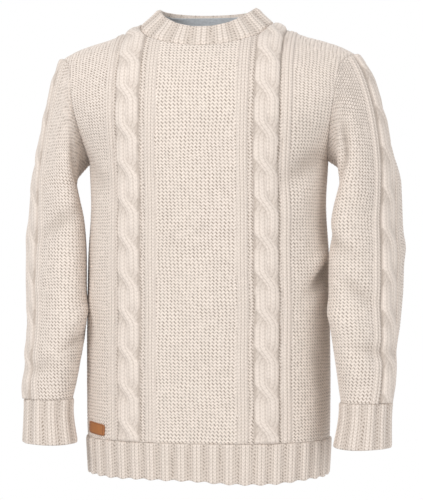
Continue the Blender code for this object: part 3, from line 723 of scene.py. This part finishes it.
def panel_places(form, columns, row_step):
    """Full rows of stitches over a panel, clamped to its side, armhole, shoulder and neck edges."""
    rows = spaced(0, form["ups"][-1], row_step)
    along = np.concatenate([-columns[:0:-1], columns])
    along, up = np.meshgrid(along, rows)
    edge = form_edge(form, up)
    along = np.clip(along, -edge, edge)
    return along, np.minimum(up, panel_top(form, along))


def seam_distance(form, along, up):
    """How far places on a panel lie from its nearest seam or edge, in metres."""
    near = np.minimum(up, panel_top(form, along) - up)
    near = np.minimum(near, form_edge(form, up) - np.abs(along))
    return np.maximum(near, 0)


def seam_normals(normals):
    """Normals whose first row lies level, so that two pieces meet square along their seam."""
    normals[0, :, 2] = 0
    return unit(normals)


def seam_relief(raised, near):
    """Relief that dies down towards a seam."""
    return raised * ease((near + 0.002) / 0.006)


def rib_ends(raised, from_rim, from_seam):
    """Ribs that are rounded off at their open rim and die down towards their seam."""
    return raised * (0.4 + 0.6 * ease((from_rim + 0.001) / 0.003)) * ease((from_seam + 0.002) / 0.005)


def fold_shade(shade, near, bend):
    """Painted shade, darker along seams and in the troughs of folds."""
    shade = shade * (1 - SEAM_SHADE + SEAM_SHADE * ease(near / SEAM_FADE))
    return shade * (1 - TROUGH_SHADE * ease(-bend / TROUGH_DEPTH))


def walls(points, normals, raised, bend=0):
    """The outer side of cloth with its relief and the plain inner side, both bent by its folds."""
    outside = points + normals * (bend + raised)[..., None]
    inside = points + normals * (bend - sizes().wall + 0 * raised)[..., None]
    return outside, inside


def torso_piece(name, node, form, columns, folds, relief, material):
    """A panel of the torso. Its shoulder seam lies half a gap from the plane between front and back."""
    s = sizes()
    along, up = panel_places(form, columns, s.stitch_rise / 3)
    points, normals = surface_at(form, up, along)
    shoulder = (up > form["ups"][-1] - 1e-6) & (np.abs(along) > s.neck_half - 1e-6)
    points[shoulder, 1] = form["face"] * s.seam_gap / 2
    normals[shoulder, 1] = 0
    near = seam_distance(form, along, up)
    bend = fold_height(folds, along, up) * ease(near / FOLD_FADE)
    raised, shade, where = relief(along, up)
    outside, inside = walls(points, seam_normals(normals), seam_relief(raised, near), bend)
    obj = shell(name, outside, inside, fold_shade(shade, near, bend), where, material)
    declare(obj, node, (2 * float(form["edges"].max()), float(form["ups"][-1])), cloth_area(points))


def cloth_area(points):
    """The plain area of a grid of points."""
    a = np.diff(points[:-1], axis=1)
    b = np.diff(points[:, :-1], axis=0)
    return float(np.linalg.norm(np.cross(a, b), axis=-1).sum())


def declare(obj, node, flat, area):
    """Hangs a piece under the root, hides the CAD part that it stands for, and prints that it is a sheet of
    cloth with the size of its cut and its area.
    """
    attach(obj, "root")
    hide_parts(node)
    print(f"sheet {obj.name}: flat {flat[0]:.3f} x {flat[1]:.3f} m, area {area:.4f} m2")


def armhole_edge(front, back, side):
    """The armhole's edge from the armpit up the front, over the shoulder and down the back."""
    s = sizes()
    pairs = []
    for form in (front, back):
        ups = spaced(np.interp(s.armpit, form["levels"], form["ups"]), form["ups"][-1], 0.004)
        places = side * form_edge(form, ups)
        points, normals = surface_at(form, ups, places)
        inner = points - unit(normals) * s.wall
        pairs.append((points, inner) if form["face"] < 0 else (points[-2::-1], inner[-2::-1]))
    return [np.concatenate([pair[layer] for pair in pairs]) for layer in (0, 1)]


def neck_edge(front, back):
    """The neck's edge from the middle of the front round the viewer's right side."""
    s = sizes()
    turn = np.linspace(-math.pi / 2, math.pi / 2, 61)
    along = s.neck_half * np.sin(turn)
    loops = []
    for form in (front, back):
        up = np.interp(neck_level(form, along), form["levels"], form["ups"])
        points, normals = surface_at(form, up, along)
        loops.append((points, points - unit(normals) * s.wall))
    pairs = []
    for layer in (0, 1):
        ahead, behind = loops[0][layer], loops[1][layer][::-1]
        half = len(ahead) // 2
        pairs.append(np.concatenate([ahead[half:], behind[1:-1], ahead[: half + 1]]))
    return pairs


def hole_step(outer, inner, gap):
    """The direction into a hole, and its closed edge moved that way by the seam's gap."""
    ahead = np.roll(outer, -1, axis=0) - np.roll(outer, 1, axis=0)
    into = unit(np.cross(outer - inner, ahead))
    middle = outer.mean(axis=0)
    into *= np.where(((middle - outer) * into).sum(axis=1).mean() < 0, -1, 1)
    return into, outer + into * gap, inner + into * gap


def chain_at(outer, inner, shares):
    """Pairs of points along an edge by the share of its length, on its outer and inner lines."""
    covered = lengths(outer)
    places = np.asarray(shares) * covered[-1]
    return at_lengths(outer, covered, places), at_lengths(inner, covered, places)


def sleeve_ring(level, side):
    """A closed ring from its underarm point over the front. Its middle is the outside's centre line."""
    size = {name: float(smooth(SLEEVE, "level", name, level)) for name in SLEEVE}
    toe = math.radians(size["toe"])
    angle = np.linspace(0, 2 * math.pi, SAMPLES)
    wide = -size["half_width"] * np.cos(angle)
    deep = size["half_depth"] * np.sin(angle)
    x = size["right_out" if side > 0 else "left_out"] + wide * math.cos(toe) - deep * math.sin(toe)
    y = size["ahead"] - wide * math.sin(toe) - deep * math.cos(toe)
    return np.stack([side * x, y, np.full(SAMPLES, level)], axis=1)


def ring_at(ring, offsets):
    """Points on a closed ring at these lengths from its middle."""
    covered = lengths(ring)
    return at_lengths(ring, covered, covered[-1] / 2 + offsets)


def sleeve_offsets(half, fine, rest):
    """Lengths from the middle of the outside: fine steps over the cable, then even ones to the underarm."""
    beyond = fine[-1] + np.linspace(0, 1, rest + 1)[1:] * (half - fine[-1])
    one = np.concatenate([fine, beyond])
    return np.concatenate([-one[:0:-1], one])


def sleeve_grid(edge, side, fine, rest, row_step):
    """The sleeve's form from the cuff's seam up to the armhole, with its cloth coordinates."""
    s = sizes()
    outer, inner = edge
    points, along = [], []
    for level in spaced(s.cuff_seam, s.sleeve_top, row_step):
        ring = sleeve_ring(level, side)
        offsets = sleeve_offsets(lengths(ring)[-1] / 2, fine, rest)
        points.append(ring_at(ring, offsets))
        along.append(offsets)
    stack = np.array(points)
    steps = np.linalg.norm(np.diff(stack, axis=0), axis=2)
    up = [0 * along[0], *np.cumsum(steps, axis=0)]
    covered = lengths(outer)
    offsets = sleeve_offsets(covered[-1] / 2, fine, rest)
    shares = (offsets + covered[-1] / 2) / covered[-1]
    start_outer, start_inner = chain_at(outer, inner, shares)
    into, start_outer, start_inner = hole_step(start_outer, start_inner, s.seam_gap)
    base, low = stack[-1], unit(stack[-1] - stack[-9])
    reach = np.linalg.norm(start_outer - base, axis=1)[:, None]
    lift = (0.1 + 0.65 * np.sin(math.pi * shares) ** 6)[:, None]
    away = unit(lift * into + (1 - lift) * unit(base - start_outer))
    before, height, last = base, up[-1], along[-1]
    steps = spaced(0, 1, row_step / float(reach.max()))[1:]
    for t in steps:
        curve = base * (1 + 2 * t) * (1 - t) ** 2 + start_outer * t * t * (3 - 2 * t)
        curve = curve + SWELL[side] * reach * (low * t * (1 - t) ** 2 + away * t * t * (1 - t))
        height = height + np.linalg.norm(curve - before, axis=1)
        before = curve
        points.append(curve)
        along.append(last * (1 - t) + offsets * t)
        up.append(height)
    return np.array(points), np.array(along), np.array(up)


def sleeve_piece(name, node, edge, side, folds, material):
    fine = spaced(0, SLEEVE_FINE, SLEEVE_FINE_STEP)
    points, along, up = sleeve_grid(edge, side, fine, SLEEVE_REST, sizes().stitch_rise / 3)
    normals = seam_normals(tube_normals(points))
    from_top = up[-1] - up
    near = np.minimum(from_top, up)
    bend = fold_height(folds, along, up) * ease(near / FOLD_FADE)
    raised, shade, where = sleeve_relief(along * side, up)
    outside, inside = walls(points, normals, seam_relief(raised, from_top), bend)
    obj = shell(name, outside, inside, fold_shade(shade, near, bend), where, material, True)
    declare(obj, node, (2 * float(along.max()), float(up.max())), cloth_area(points))


def cuff_piece(name, node, side, material):
    s = sizes()
    columns = s.cuff_ribs * RIB_COLUMNS
    points = []
    levels = spaced(s.cuff_seam - s.seam_gap, s.cuff_bottom, s.stitch_rise / 4)
    for level in levels:
        ring = sleeve_ring(level, side)
        half = lengths(ring)[-1] / 2
        points.append(ring_at(ring, np.linspace(-half, half, columns + 1)))
    points = np.array(points)
    normals = seam_normals(tube_normals(points))
    turns = np.arange(columns + 1)[None, :] / RIB_COLUMNS + 0 * levels[:, None]
    up = (levels - s.cuff_bottom)[:, None] + 0 * turns
    raised, shade, where = rib_relief(turns, up)
    outside, inside = walls(points, normals, rib_ends(raised, up, up.max() - up))
    obj = shell(name, outside, inside, shade, where, material, True)
    width = float(np.linalg.norm(np.diff(points[0], axis=0), axis=1).sum())
    declare(obj, node, (width * 1.08, float(np.ptp(levels))), cloth_area(points))


def hem_piece(name, node, form, material):
    s = sizes()
    low = float(np.interp(s.hem_bottom, form["levels"], form["ups"]))
    ups = spaced(-s.seam_gap, low, s.stitch_rise / 4)
    shares = np.linspace(-1, 1, s.hem_ribs * RIB_COLUMNS + 1)
    along = form_edge(form, ups)[:, None] * shares[None, :]
    dip = np.exp(-(((along - 0.085) / 0.070) ** 2)) * (form["face"] < 0)
    scallop = 0.0010 * np.cos(math.pi * s.hem_ribs * shares)
    scallop = scallop + 0.0008 * uneven(along * 90, 0, form["face"])
    up = ups[:, None] * (1 + (0.005 * dip + scallop) / -low)
    points, normals = surface_at(form, up, along)
    normals = seam_normals(normals)
    turns = shares[None, :] * s.hem_ribs / 2 + 0 * up
    raised, shade, where = rib_relief(turns, up - low)
    raised = rib_ends(raised, (ups - low)[:, None], -ups[:, None])
    outside, inside = walls(points, normals, raised)
    obj = shell(name, outside, inside, shade, where, material)
    declare(obj, node, (2 * float(form_edge(form, ups).max()), -low), cloth_area(points))


def rim_point(share):
    """The band's rim at a share of the way round from the middle of the front."""
    s = sizes()
    angle = 2 * math.pi * share
    x, y = math.sin(angle), -math.cos(angle)
    x, y = (math.copysign(abs(v) ** (2 / 2.2), v) for v in (x, y))
    end = s.rim_front_level if y < 0 else s.rim_back_level
    level = s.rim_side_level + (end - s.rim_side_level) * abs(y) ** 1.7
    return (s.rim_half * x, y * (s.rim_front if y < 0 else s.rim_back), level)


def neckband_form(edge, columns, row_step):
    """The band's rows from its seam up to its rim, with their shares of the way up."""
    s = sizes()
    shares = np.arange(columns) / columns
    base, base_inner = chain_at(*edge, shares)
    into, base, base_inner = hole_step(base, base_inner, s.seam_gap)
    rim = np.array([rim_point(share) for share in shares])
    reach = np.linalg.norm(rim - base, axis=1)[:, None]
    start = unit(into + (0, 0, 0.9))
    end = unit(rim - base + (0, 0, 0.02))
    rise = spaced(0, 1, row_step / float(reach.mean()))
    points = []
    for t in rise:
        curve = base * (1 + 2 * t) * (1 - t) ** 2 + rim * t * t * (3 - 2 * t)
        points.append(curve + 0.8 * reach * (start * t * (1 - t) ** 2 - end * t * t * (1 - t)))
    points = np.array(points)
    points = np.concatenate([points, points[:, :1]], axis=1)
    return points, rise, tube_normals(points)


def neckband_piece(name, node, edge, material):
    s = sizes()
    columns = s.neck_ribs * RIB_COLUMNS
    points, rise, normals = neckband_form(edge, columns, s.stitch_rise / 4)
    steps = np.linalg.norm(np.diff(points, axis=0), axis=2)
    up = np.concatenate([np.zeros((1, columns + 1)), np.cumsum(steps, axis=0)])
    turns = np.arange(columns + 1)[None, :] / RIB_COLUMNS + 0 * up
    raised, shade, where = rib_relief(turns, up)
    part = rise[:, None]
    rounded = 1 - 0.75 * ease((part - 0.88) / 0.12)
    raised = raised * ease((part + 0.05) / 0.25) * rounded
    outside = points + normals * raised[..., None]
    inside = points - normals * (s.wall * (1 - 0.3 * ease((part - 0.9) / 0.1)))[..., None]
    obj = shell(name, outside, inside, shade, where, material, True)
    declare(obj, node, (float(lengths(points[0])[-1]), float(up[-1].mean())), cloth_area(points))


def lining_piece(name, node, edge, material):
    """The fleece strip on the band's inside, below its rim, with a fine nap."""
    s = sizes()
    points, rise, normals = neckband_form(edge, 200, 0.0012)
    keep = (rise >= 0.20) & (rise <= 0.90)
    points, normals = points[keep], normals[keep]
    turn = np.linspace(0, 2 * math.pi, points.shape[1])[None, :]
    along = np.arange(len(points))[:, None] / len(points)
    nap = 0.0003 * uneven(turn * 40, along * 60, 3.0)
    face = points - normals * (s.wall + 0.0021 + nap)[..., None]
    back = points - normals * (s.wall + 0.0005)
    around = lengths(points[0])[-1]
    where = np.stack([turn * 20 + 0 * along, along * 8 + 0 * turn, 0 * nap], axis=-1)
    obj = shell(name, face, back, 1 + 0 * nap, where, material, True)
    height = float(np.linalg.norm(points[-1] - points[0], axis=1).mean())
    declare(obj, node, (float(around), height * 1.05), cloth_area(points))


def patch_piece(name, node, form, material):
    """The leather patch, laid on the front's stitches and turned a little."""
    s = sizes()
    half_width, half_height = s.patch_width / 2, s.patch_height / 2
    u, v = np.meshgrid(np.linspace(-1, 1, 25), np.linspace(-1, 1, 11))
    corner = 0.06 * np.abs(u) ** 8 * np.abs(v) ** 8
    x, y = u * half_width * (1 - corner), v * half_height * (1 - 2 * corner)
    turn = math.radians(-4.0)
    along = s.patch_along + x * math.cos(turn) - y * math.sin(turn)
    up = s.patch_up + x * math.sin(turn) + y * math.cos(turn)
    points, normals = surface_at(form, up, along)
    normals = unit(normals)
    bend = fold_height(FRONT_FOLDS, along, up) * ease(up / FOLD_FADE)
    sunk = 0.0003 * np.exp(-(((np.maximum(np.abs(u), np.abs(v)) - 0.84) / 0.06) ** 2))
    low = bend + 0.5 * s.purl_height + 0.0002
    outside = points + normals * (low + s.patch_wall - sunk)[..., None]
    inside = points + normals * low[..., None]
    where = np.stack([u, v, 0 * u], axis=-1)
    obj = shell(name, outside, inside, 1 + 0 * u, where, material, stride=2)
    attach(obj, "root")
    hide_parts(node)


def node_tree(name):
    material = bpy.data.materials.new(name)
    material.use_nodes = True
    return material, material.node_tree, material.node_tree.nodes["Principled BSDF"]


def noise(tree, scale, detail=2.0, roughness=0.5):
    """Noise on the piece's own metres."""
    place = tree.nodes.new("ShaderNodeTexCoord")
    node = tree.nodes.new("ShaderNodeTexNoise")
    node.inputs["Scale"].default_value = scale
    node.inputs["Detail"].default_value = detail
    node.inputs["Roughness"].default_value = roughness
    tree.links.new(place.outputs["Object"], node.inputs["Vector"])
    return node.outputs["Fac"]


def mixed(tree, factor, first, second):
    """One colour or socket over another by a factor socket or number."""
    node = tree.nodes.new("ShaderNodeMix")
    node.data_type = "RGBA"
    for name, value in (("Factor_Float", factor), ("A_Color", first), ("B_Color", second)):
        socket = next(i for i in node.inputs if i.identifier == name)
        if isinstance(value, bpy.types.NodeSocket):
            tree.links.new(value, socket)
        else:
            socket.default_value = value
    return next(o for o in node.outputs if o.identifier == "Result_Color")


def ranged(tree, value, low, high, to_low, to_high):
    node = tree.nodes.new("ShaderNodeMapRange")
    tree.links.new(value, node.inputs["Value"])
    for name, number in (("From Min", low), ("From Max", high), ("To Min", to_low), ("To Max", to_high)):
        node.inputs[name].default_value = number
    return node.outputs["Result"]


def calc(tree, operation, *values):
    """One math node on sockets and numbers."""
    node = tree.nodes.new("ShaderNodeMath")
    node.operation = operation
    for socket, value in zip(node.inputs, values):
        if isinstance(value, bpy.types.NodeSocket):
            tree.links.new(value, socket)
        else:
            socket.default_value = value
    return node.outputs["Value"]


def wave_of(tree, turns):
    """A wave from 0 to 1 that is highest at each whole turn."""
    wave = calc(tree, "COSINE", calc(tree, "MULTIPLY", turns, 2 * math.pi))
    return calc(tree, "MULTIPLY_ADD", wave, 0.5, 0.5)


def attribute(tree, name):
    node = tree.nodes.new("ShaderNodeAttribute")
    node.attribute_name = name
    return node.outputs["Fac"]


def rest_of(tree, value):
    """One minus a value."""
    return calc(tree, "SUBTRACT", 1.0, value)


def knit_place(tree):
    """The two numbers of the piece's own UV map, which counts in stitches on the knitted pieces."""
    place = tree.nodes.new("ShaderNodeUVMap")
    place.uv_map = "Knit"
    parts = tree.nodes.new("ShaderNodeSeparateXYZ")
    tree.links.new(place.outputs["UV"], parts.inputs["Vector"])
    return parts.outputs["X"], parts.outputs["Y"]


def stitch_painted_shade(tree):
    """How light the yarn is painted, from 0 in a dash between stitches to 1, with the piece's painted shade
    and without.
    """
    u, v = knit_place(tree)
    # Painted shade of reverse stockinette: darker in the valleys between rows and darkest in a dash where
    # each wave falls, the dash varied at random
    swing = calc(tree, "SINE", calc(tree, "MULTIPLY", u, 2 * math.pi))
    valley = rest_of(tree, wave_of(tree, calc(tree, "MULTIPLY_ADD", swing, -WAVE, v)))
    falling = rest_of(tree, wave_of(tree, u))
    dash = calc(tree, "MULTIPLY", calc(tree, "POWER", valley, 1.8), calc(tree, "POWER", falling, 1.3))
    dash = calc(tree, "MULTIPLY", dash, ranged(tree, noise(tree, 150.0, 1.0), 0.35, 0.65, 0.60, 1.50))
    purl_painted_shade = calc(tree, "MULTIPLY_ADD", calc(tree, "POWER", valley, 2.0), -0.30, 1.0)
    purl_painted_shade = calc(tree, "MULTIPLY_ADD", dash, -0.80, purl_painted_shade)
    # Painted shade of knit columns: darker between columns, along the line between the legs and in the gaps
    # between the Vs
    x = calc(tree, "ABSOLUTE", calc(tree, "SUBTRACT", u, calc(tree, "ROUND", u)))
    bead = wave_of(tree, calc(tree, "MULTIPLY_ADD", x, -VEE, v))
    between = calc(tree, "POWER", falling, 3.0)
    middle = ranged(tree, x, 0.0, 0.14, 0.22, 0.0)
    knit_painted_shade = calc(tree, "MULTIPLY_ADD", between, -0.48, 1.0)
    knit_painted_shade = calc(tree, "SUBTRACT", knit_painted_shade, middle)
    dark = calc(tree, "POWER", rest_of(tree, bead), 2.0)
    knit_painted_shade = calc(tree, "MULTIPLY_ADD", dark, -0.32, knit_painted_shade)
    # The knit attribute chooses between the two painted shades; tone is the painted stitch shade without
    # the piece's own painted shade
    knit = attribute(tree, "knit")
    soft = calc(tree, "MINIMUM", calc(tree, "MULTIPLY", knit, 4.0), 1.0)
    knit_painted_shade = rest_of(tree, calc(tree, "MULTIPLY", knit, rest_of(tree, knit_painted_shade)))
    plain_part = calc(tree, "MULTIPLY", purl_painted_shade, rest_of(tree, soft))
    tone = calc(tree, "MULTIPLY_ADD", knit_painted_shade, soft, plain_part)
    tone = calc(tree, "MAXIMUM", tone, 0.0)
    return calc(tree, "MULTIPLY", tone, attribute(tree, "shade")), tone


def bumped(tree, shader, height, strength, distance):
    node = tree.nodes.new("ShaderNodeBump")
    node.inputs["Strength"].default_value = strength
    node.inputs["Distance"].default_value = distance
    tree.links.new(height, node.inputs["Height"])
    tree.links.new(node.outputs["Normal"], shader.inputs["Normal"])


def wool_material():
    """Heathered wool with flecks and slow changes of tone, mixed towards the valley colour as painted shade
    between stitches and where a piece is painted darker.
    """
    c = looks()
    material, tree, shader = node_tree("wool")
    shade, raised = stitch_painted_shade(tree)
    # Painted shade: the stitch shade times the piece's painted shade mixes the valley colour into the wool
    base = mixed(tree, shade, (*c.valley, 1), (*c.wool, 1))
    fleck = ranged(tree, noise(tree, 420.0, 3.0, 0.7), 0.50, 0.72, 0.0, 0.45)
    base = mixed(tree, fleck, base, (*c.fleck, 1))
    tone = ranged(tree, noise(tree, 70.0, 2.0), 0.40, 0.80, 0.0, 0.16)
    base = mixed(tree, tone, base, (*c.fleck, 1))
    tree.links.new(base, shader.inputs["Base Color"])
    shader.inputs["Roughness"].default_value = 0.95
    shader.inputs["Specular IOR Level"].default_value = 0.15
    shader.inputs["Sheen Weight"].default_value = 0.25
    shader.inputs["Sheen Roughness"].default_value = 0.6
    grain = calc(tree, "MULTIPLY_ADD", noise(tree, 900.0, 2.0, 0.6), 0.35, raised)
    bumped(tree, shader, grain, 0.55, 0.0012)
    return material


def fleece_material():
    c = looks()
    material, tree, shader = node_tree("fleece")
    light = ranged(tree, noise(tree, 300.0, 3.0, 0.7), 0.35, 0.70, 0.0, 0.5)
    base = mixed(tree, light, (*c.fleece, 1), (0.72, 0.75, 0.78, 1))
    tree.links.new(base, shader.inputs["Base Color"])
    shader.inputs["Roughness"].default_value = 1.0
    shader.inputs["Sheen Weight"].default_value = 0.5
    bumped(tree, shader, noise(tree, 500.0, 3.0, 0.7), 0.7, 0.001)
    return material


def leather_material():
    c = looks()
    material, tree, shader = node_tree("leather")
    tone = ranged(tree, noise(tree, 160.0, 3.0, 0.6), 0.35, 0.70, 0.0, 0.55)
    base = mixed(tree, tone, (*c.leather, 1), (0.30, 0.115, 0.04, 1))
    across, along = (calc(tree, "ABSOLUTE", place) for place in knit_place(tree))
    border = calc(tree, "COMPARE", calc(tree, "MAXIMUM", across, along), 0.84, 0.05)
    base = mixed(tree, border, base, (*c.thread, 1))
    tree.links.new(base, shader.inputs["Base Color"])
    shader.inputs["Roughness"].default_value = 0.5
    bumped(tree, shader, noise(tree, 900.0, 3.0, 0.6), 0.3, 0.0004)
    return material


def plain_material(name, color, roughness):
    material, _, shader = node_tree(name)
    shader.inputs["Base Color"].default_value = (*color, 1)
    shader.inputs["Roughness"].default_value = roughness
    return material


def aim(obj, place, target):
    """Turns a camera or light at a point."""
    obj.location = place
    obj.rotation_euler = (Vector(target) - Vector(place)).to_track_quat("-Z", "Y").to_euler()


def area_light(name, place, target, size, power):
    light = bpy.data.lights.new(name, "AREA")
    light.shape = "DISK"
    light.size = size
    light.energy = power
    obj = bpy.data.objects.new(name, light)
    bpy.context.scene.collection.objects.link(obj)
    aim(obj, place, target)


class SWEATER_OT_torso(bpy.types.Operator):
    """Knits the front, the back and the two halves of the hem"""

    bl_idname = "sweater.torso"
    bl_label = "Torso"

    def execute(self, context):
        wool = wool_material()
        s = sizes()
        front, back = torso_form(-1), torso_form(1)
        edge = float(front["edges"].max())
        step = PANEL_STEP * s.stitch_width
        fine = spaced(*FRONT_FINE, FRONT_FINE_STEP)
        columns = np.concatenate([spaced(0, fine[0], step)[:-1], fine, spaced(fine[-1], edge, step)[1:]])
        torso_piece("front_knit", "front_panel", front, columns, FRONT_FOLDS, front_relief, wool)
        columns = spaced(0, float(back["edges"].max()), step)
        torso_piece("back_knit", "back_panel", back, columns, BACK_FOLDS, back_relief, wool)
        hem_piece("hem_front_knit", "hem_rib_front", front, wool)
        hem_piece("hem_back_knit", "hem_rib_back", back, wool)
        return {"FINISHED"}


class SWEATER_OT_sleeves(bpy.types.Operator):
    """Knits the sleeves and the cuffs"""

    bl_idname = "sweater.sleeves"
    bl_label = "Sleeves"

    def execute(self, context):
        wool = wool_material()
        front, back = torso_form(-1), torso_form(1)
        for word, side, folds in (("left", -1, LEFT_FOLDS), ("right", 1, RIGHT_FOLDS)):
            edge = armhole_edge(front, back, side)
            sleeve_piece(f"{word}_sleeve_knit", f"{word}_sleeve", edge, side, folds, wool)
            cuff_piece(f"{word}_cuff_knit", f"{word}_cuff", side, wool)
        return {"FINISHED"}


class SWEATER_OT_neck(bpy.types.Operator):
    """Knits the neckband and lays the fleece strip inside it"""

    bl_idname = "sweater.neck"
    bl_label = "Neck"

    def execute(self, context):
        edge = neck_edge(torso_form(-1), torso_form(1))
        neckband_piece("neckband_knit", "neckband", edge, wool_material())
        lining_piece("neck_fleece", "neck_lining", edge, fleece_material())
        return {"FINISHED"}


class SWEATER_OT_patch(bpy.types.Operator):
    """Cuts the leather patch"""

    bl_idname = "sweater.patch"
    bl_label = "Patch"

    def execute(self, context):
        patch_piece("leather_label", "leather_patch", torso_form(-1), leather_material())
        return {"FINISHED"}


class SWEATER_OT_stage(bpy.types.Operator):
    """Sets the floor, the light and the camera"""

    bl_idname = "sweater.stage"
    bl_label = "Stage"

    def execute(self, context):
        c = looks()
        bm = bmesh.new()
        bmesh.ops.create_circle(bm, cap_ends=True, segments=96, radius=FLOOR_RADIUS)
        bmesh.ops.translate(bm, verts=bm.verts, vec=(0, 0, FLOOR_LEVEL))
        mesh = bpy.data.meshes.new("floor")
        bm.to_mesh(mesh)
        bm.free()
        mesh.materials.append(plain_material("floor", c.floor, 0.9))
        floor = bpy.data.objects.new("floor", mesh)
        context.scene.collection.objects.link(floor)
        area_light("key", (-1.2, -2.2, 0.9), LIT_POINT, 1.1, c.key)
        area_light("fill", (2.0, -1.6, -0.3), LIT_POINT, 1.4, c.fill)
        area_light("back", (0.6, 2.3, 0.9), LIT_POINT, 1.4, c.back)
        world = bpy.data.worlds.new("studio")
        world.use_nodes = True
        tree = world.node_tree
        background = tree.nodes["Background"]
        background.inputs["Color"].default_value = (1, 1, 1, 1)
        rays = tree.nodes.new("ShaderNodeLightPath")
        strength = ranged(tree, rays.outputs["Is Camera Ray"], 0, 1, c.sky, 1.0)
        tree.links.new(strength, background.inputs["Strength"])
        context.scene.world = world
        context.scene.view_settings.view_transform = "Standard"
        camera = bpy.data.cameras.new("camera")
        camera.sensor_fit = "AUTO"
        camera.sensor_width = CAMERA_SENSOR
        camera.lens = CAMERA_SENSOR * CAMERA_DISTANCE / CAMERA_VIEW
        obj = bpy.data.objects.new("camera", camera)
        context.scene.collection.objects.link(obj)
        ahead = Vector((math.sin(CAMERA_TURN), -math.cos(CAMERA_TURN), 0))
        aside = Vector((math.cos(CAMERA_TURN), math.sin(CAMERA_TURN), 0))
        target = VIEW_ASIDE * aside + Vector((0, 0, VIEW_LEVEL))
        aim(obj, target + CAMERA_DISTANCE * ahead, target)
        context.scene.camera = obj
        return {"FINISHED"}


class SWEATER_PT_panel(bpy.types.Panel):
    """Sizes, looks and the buttons that build the pieces"""

    bl_label = "Sweater"
    bl_idname = "SWEATER_PT_panel"
    bl_space_type = "VIEW_3D"
    bl_region_type = "UI"
    bl_category = "Sweater"

    def draw(self, context):
        for group in (context.scene.sweater_sizes, context.scene.sweater_looks):
            for name in group.__annotations__:
                self.layout.prop(group, name)
        for operator in OPERATORS:
            self.layout.operator(operator.bl_idname)


OPERATORS = (SWEATER_OT_torso, SWEATER_OT_sleeves, SWEATER_OT_neck, SWEATER_OT_patch, SWEATER_OT_stage)
CLASSES = (SweaterSizes, SweaterLooks, *OPERATORS, SWEATER_PT_panel)


def register():
    for cls in CLASSES:
        bpy.utils.register_class(cls)
    bpy.types.Scene.sweater_sizes = bpy.props.PointerProperty(type=SweaterSizes)
    bpy.types.Scene.sweater_looks = bpy.props.PointerProperty(type=SweaterLooks)


def unregister():
    del bpy.types.Scene.sweater_looks
    del bpy.types.Scene.sweater_sizes
    for cls in reversed(CLASSES):
        bpy.utils.unregister_class(cls)


def main():
    register()
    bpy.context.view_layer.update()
    bpy.ops.sweater.torso()
    bpy.ops.sweater.sleeves()
    bpy.ops.sweater.neck()
    bpy.ops.sweater.patch()
    bpy.ops.sweater.stage()


if __name__ == "__main__":
    main()
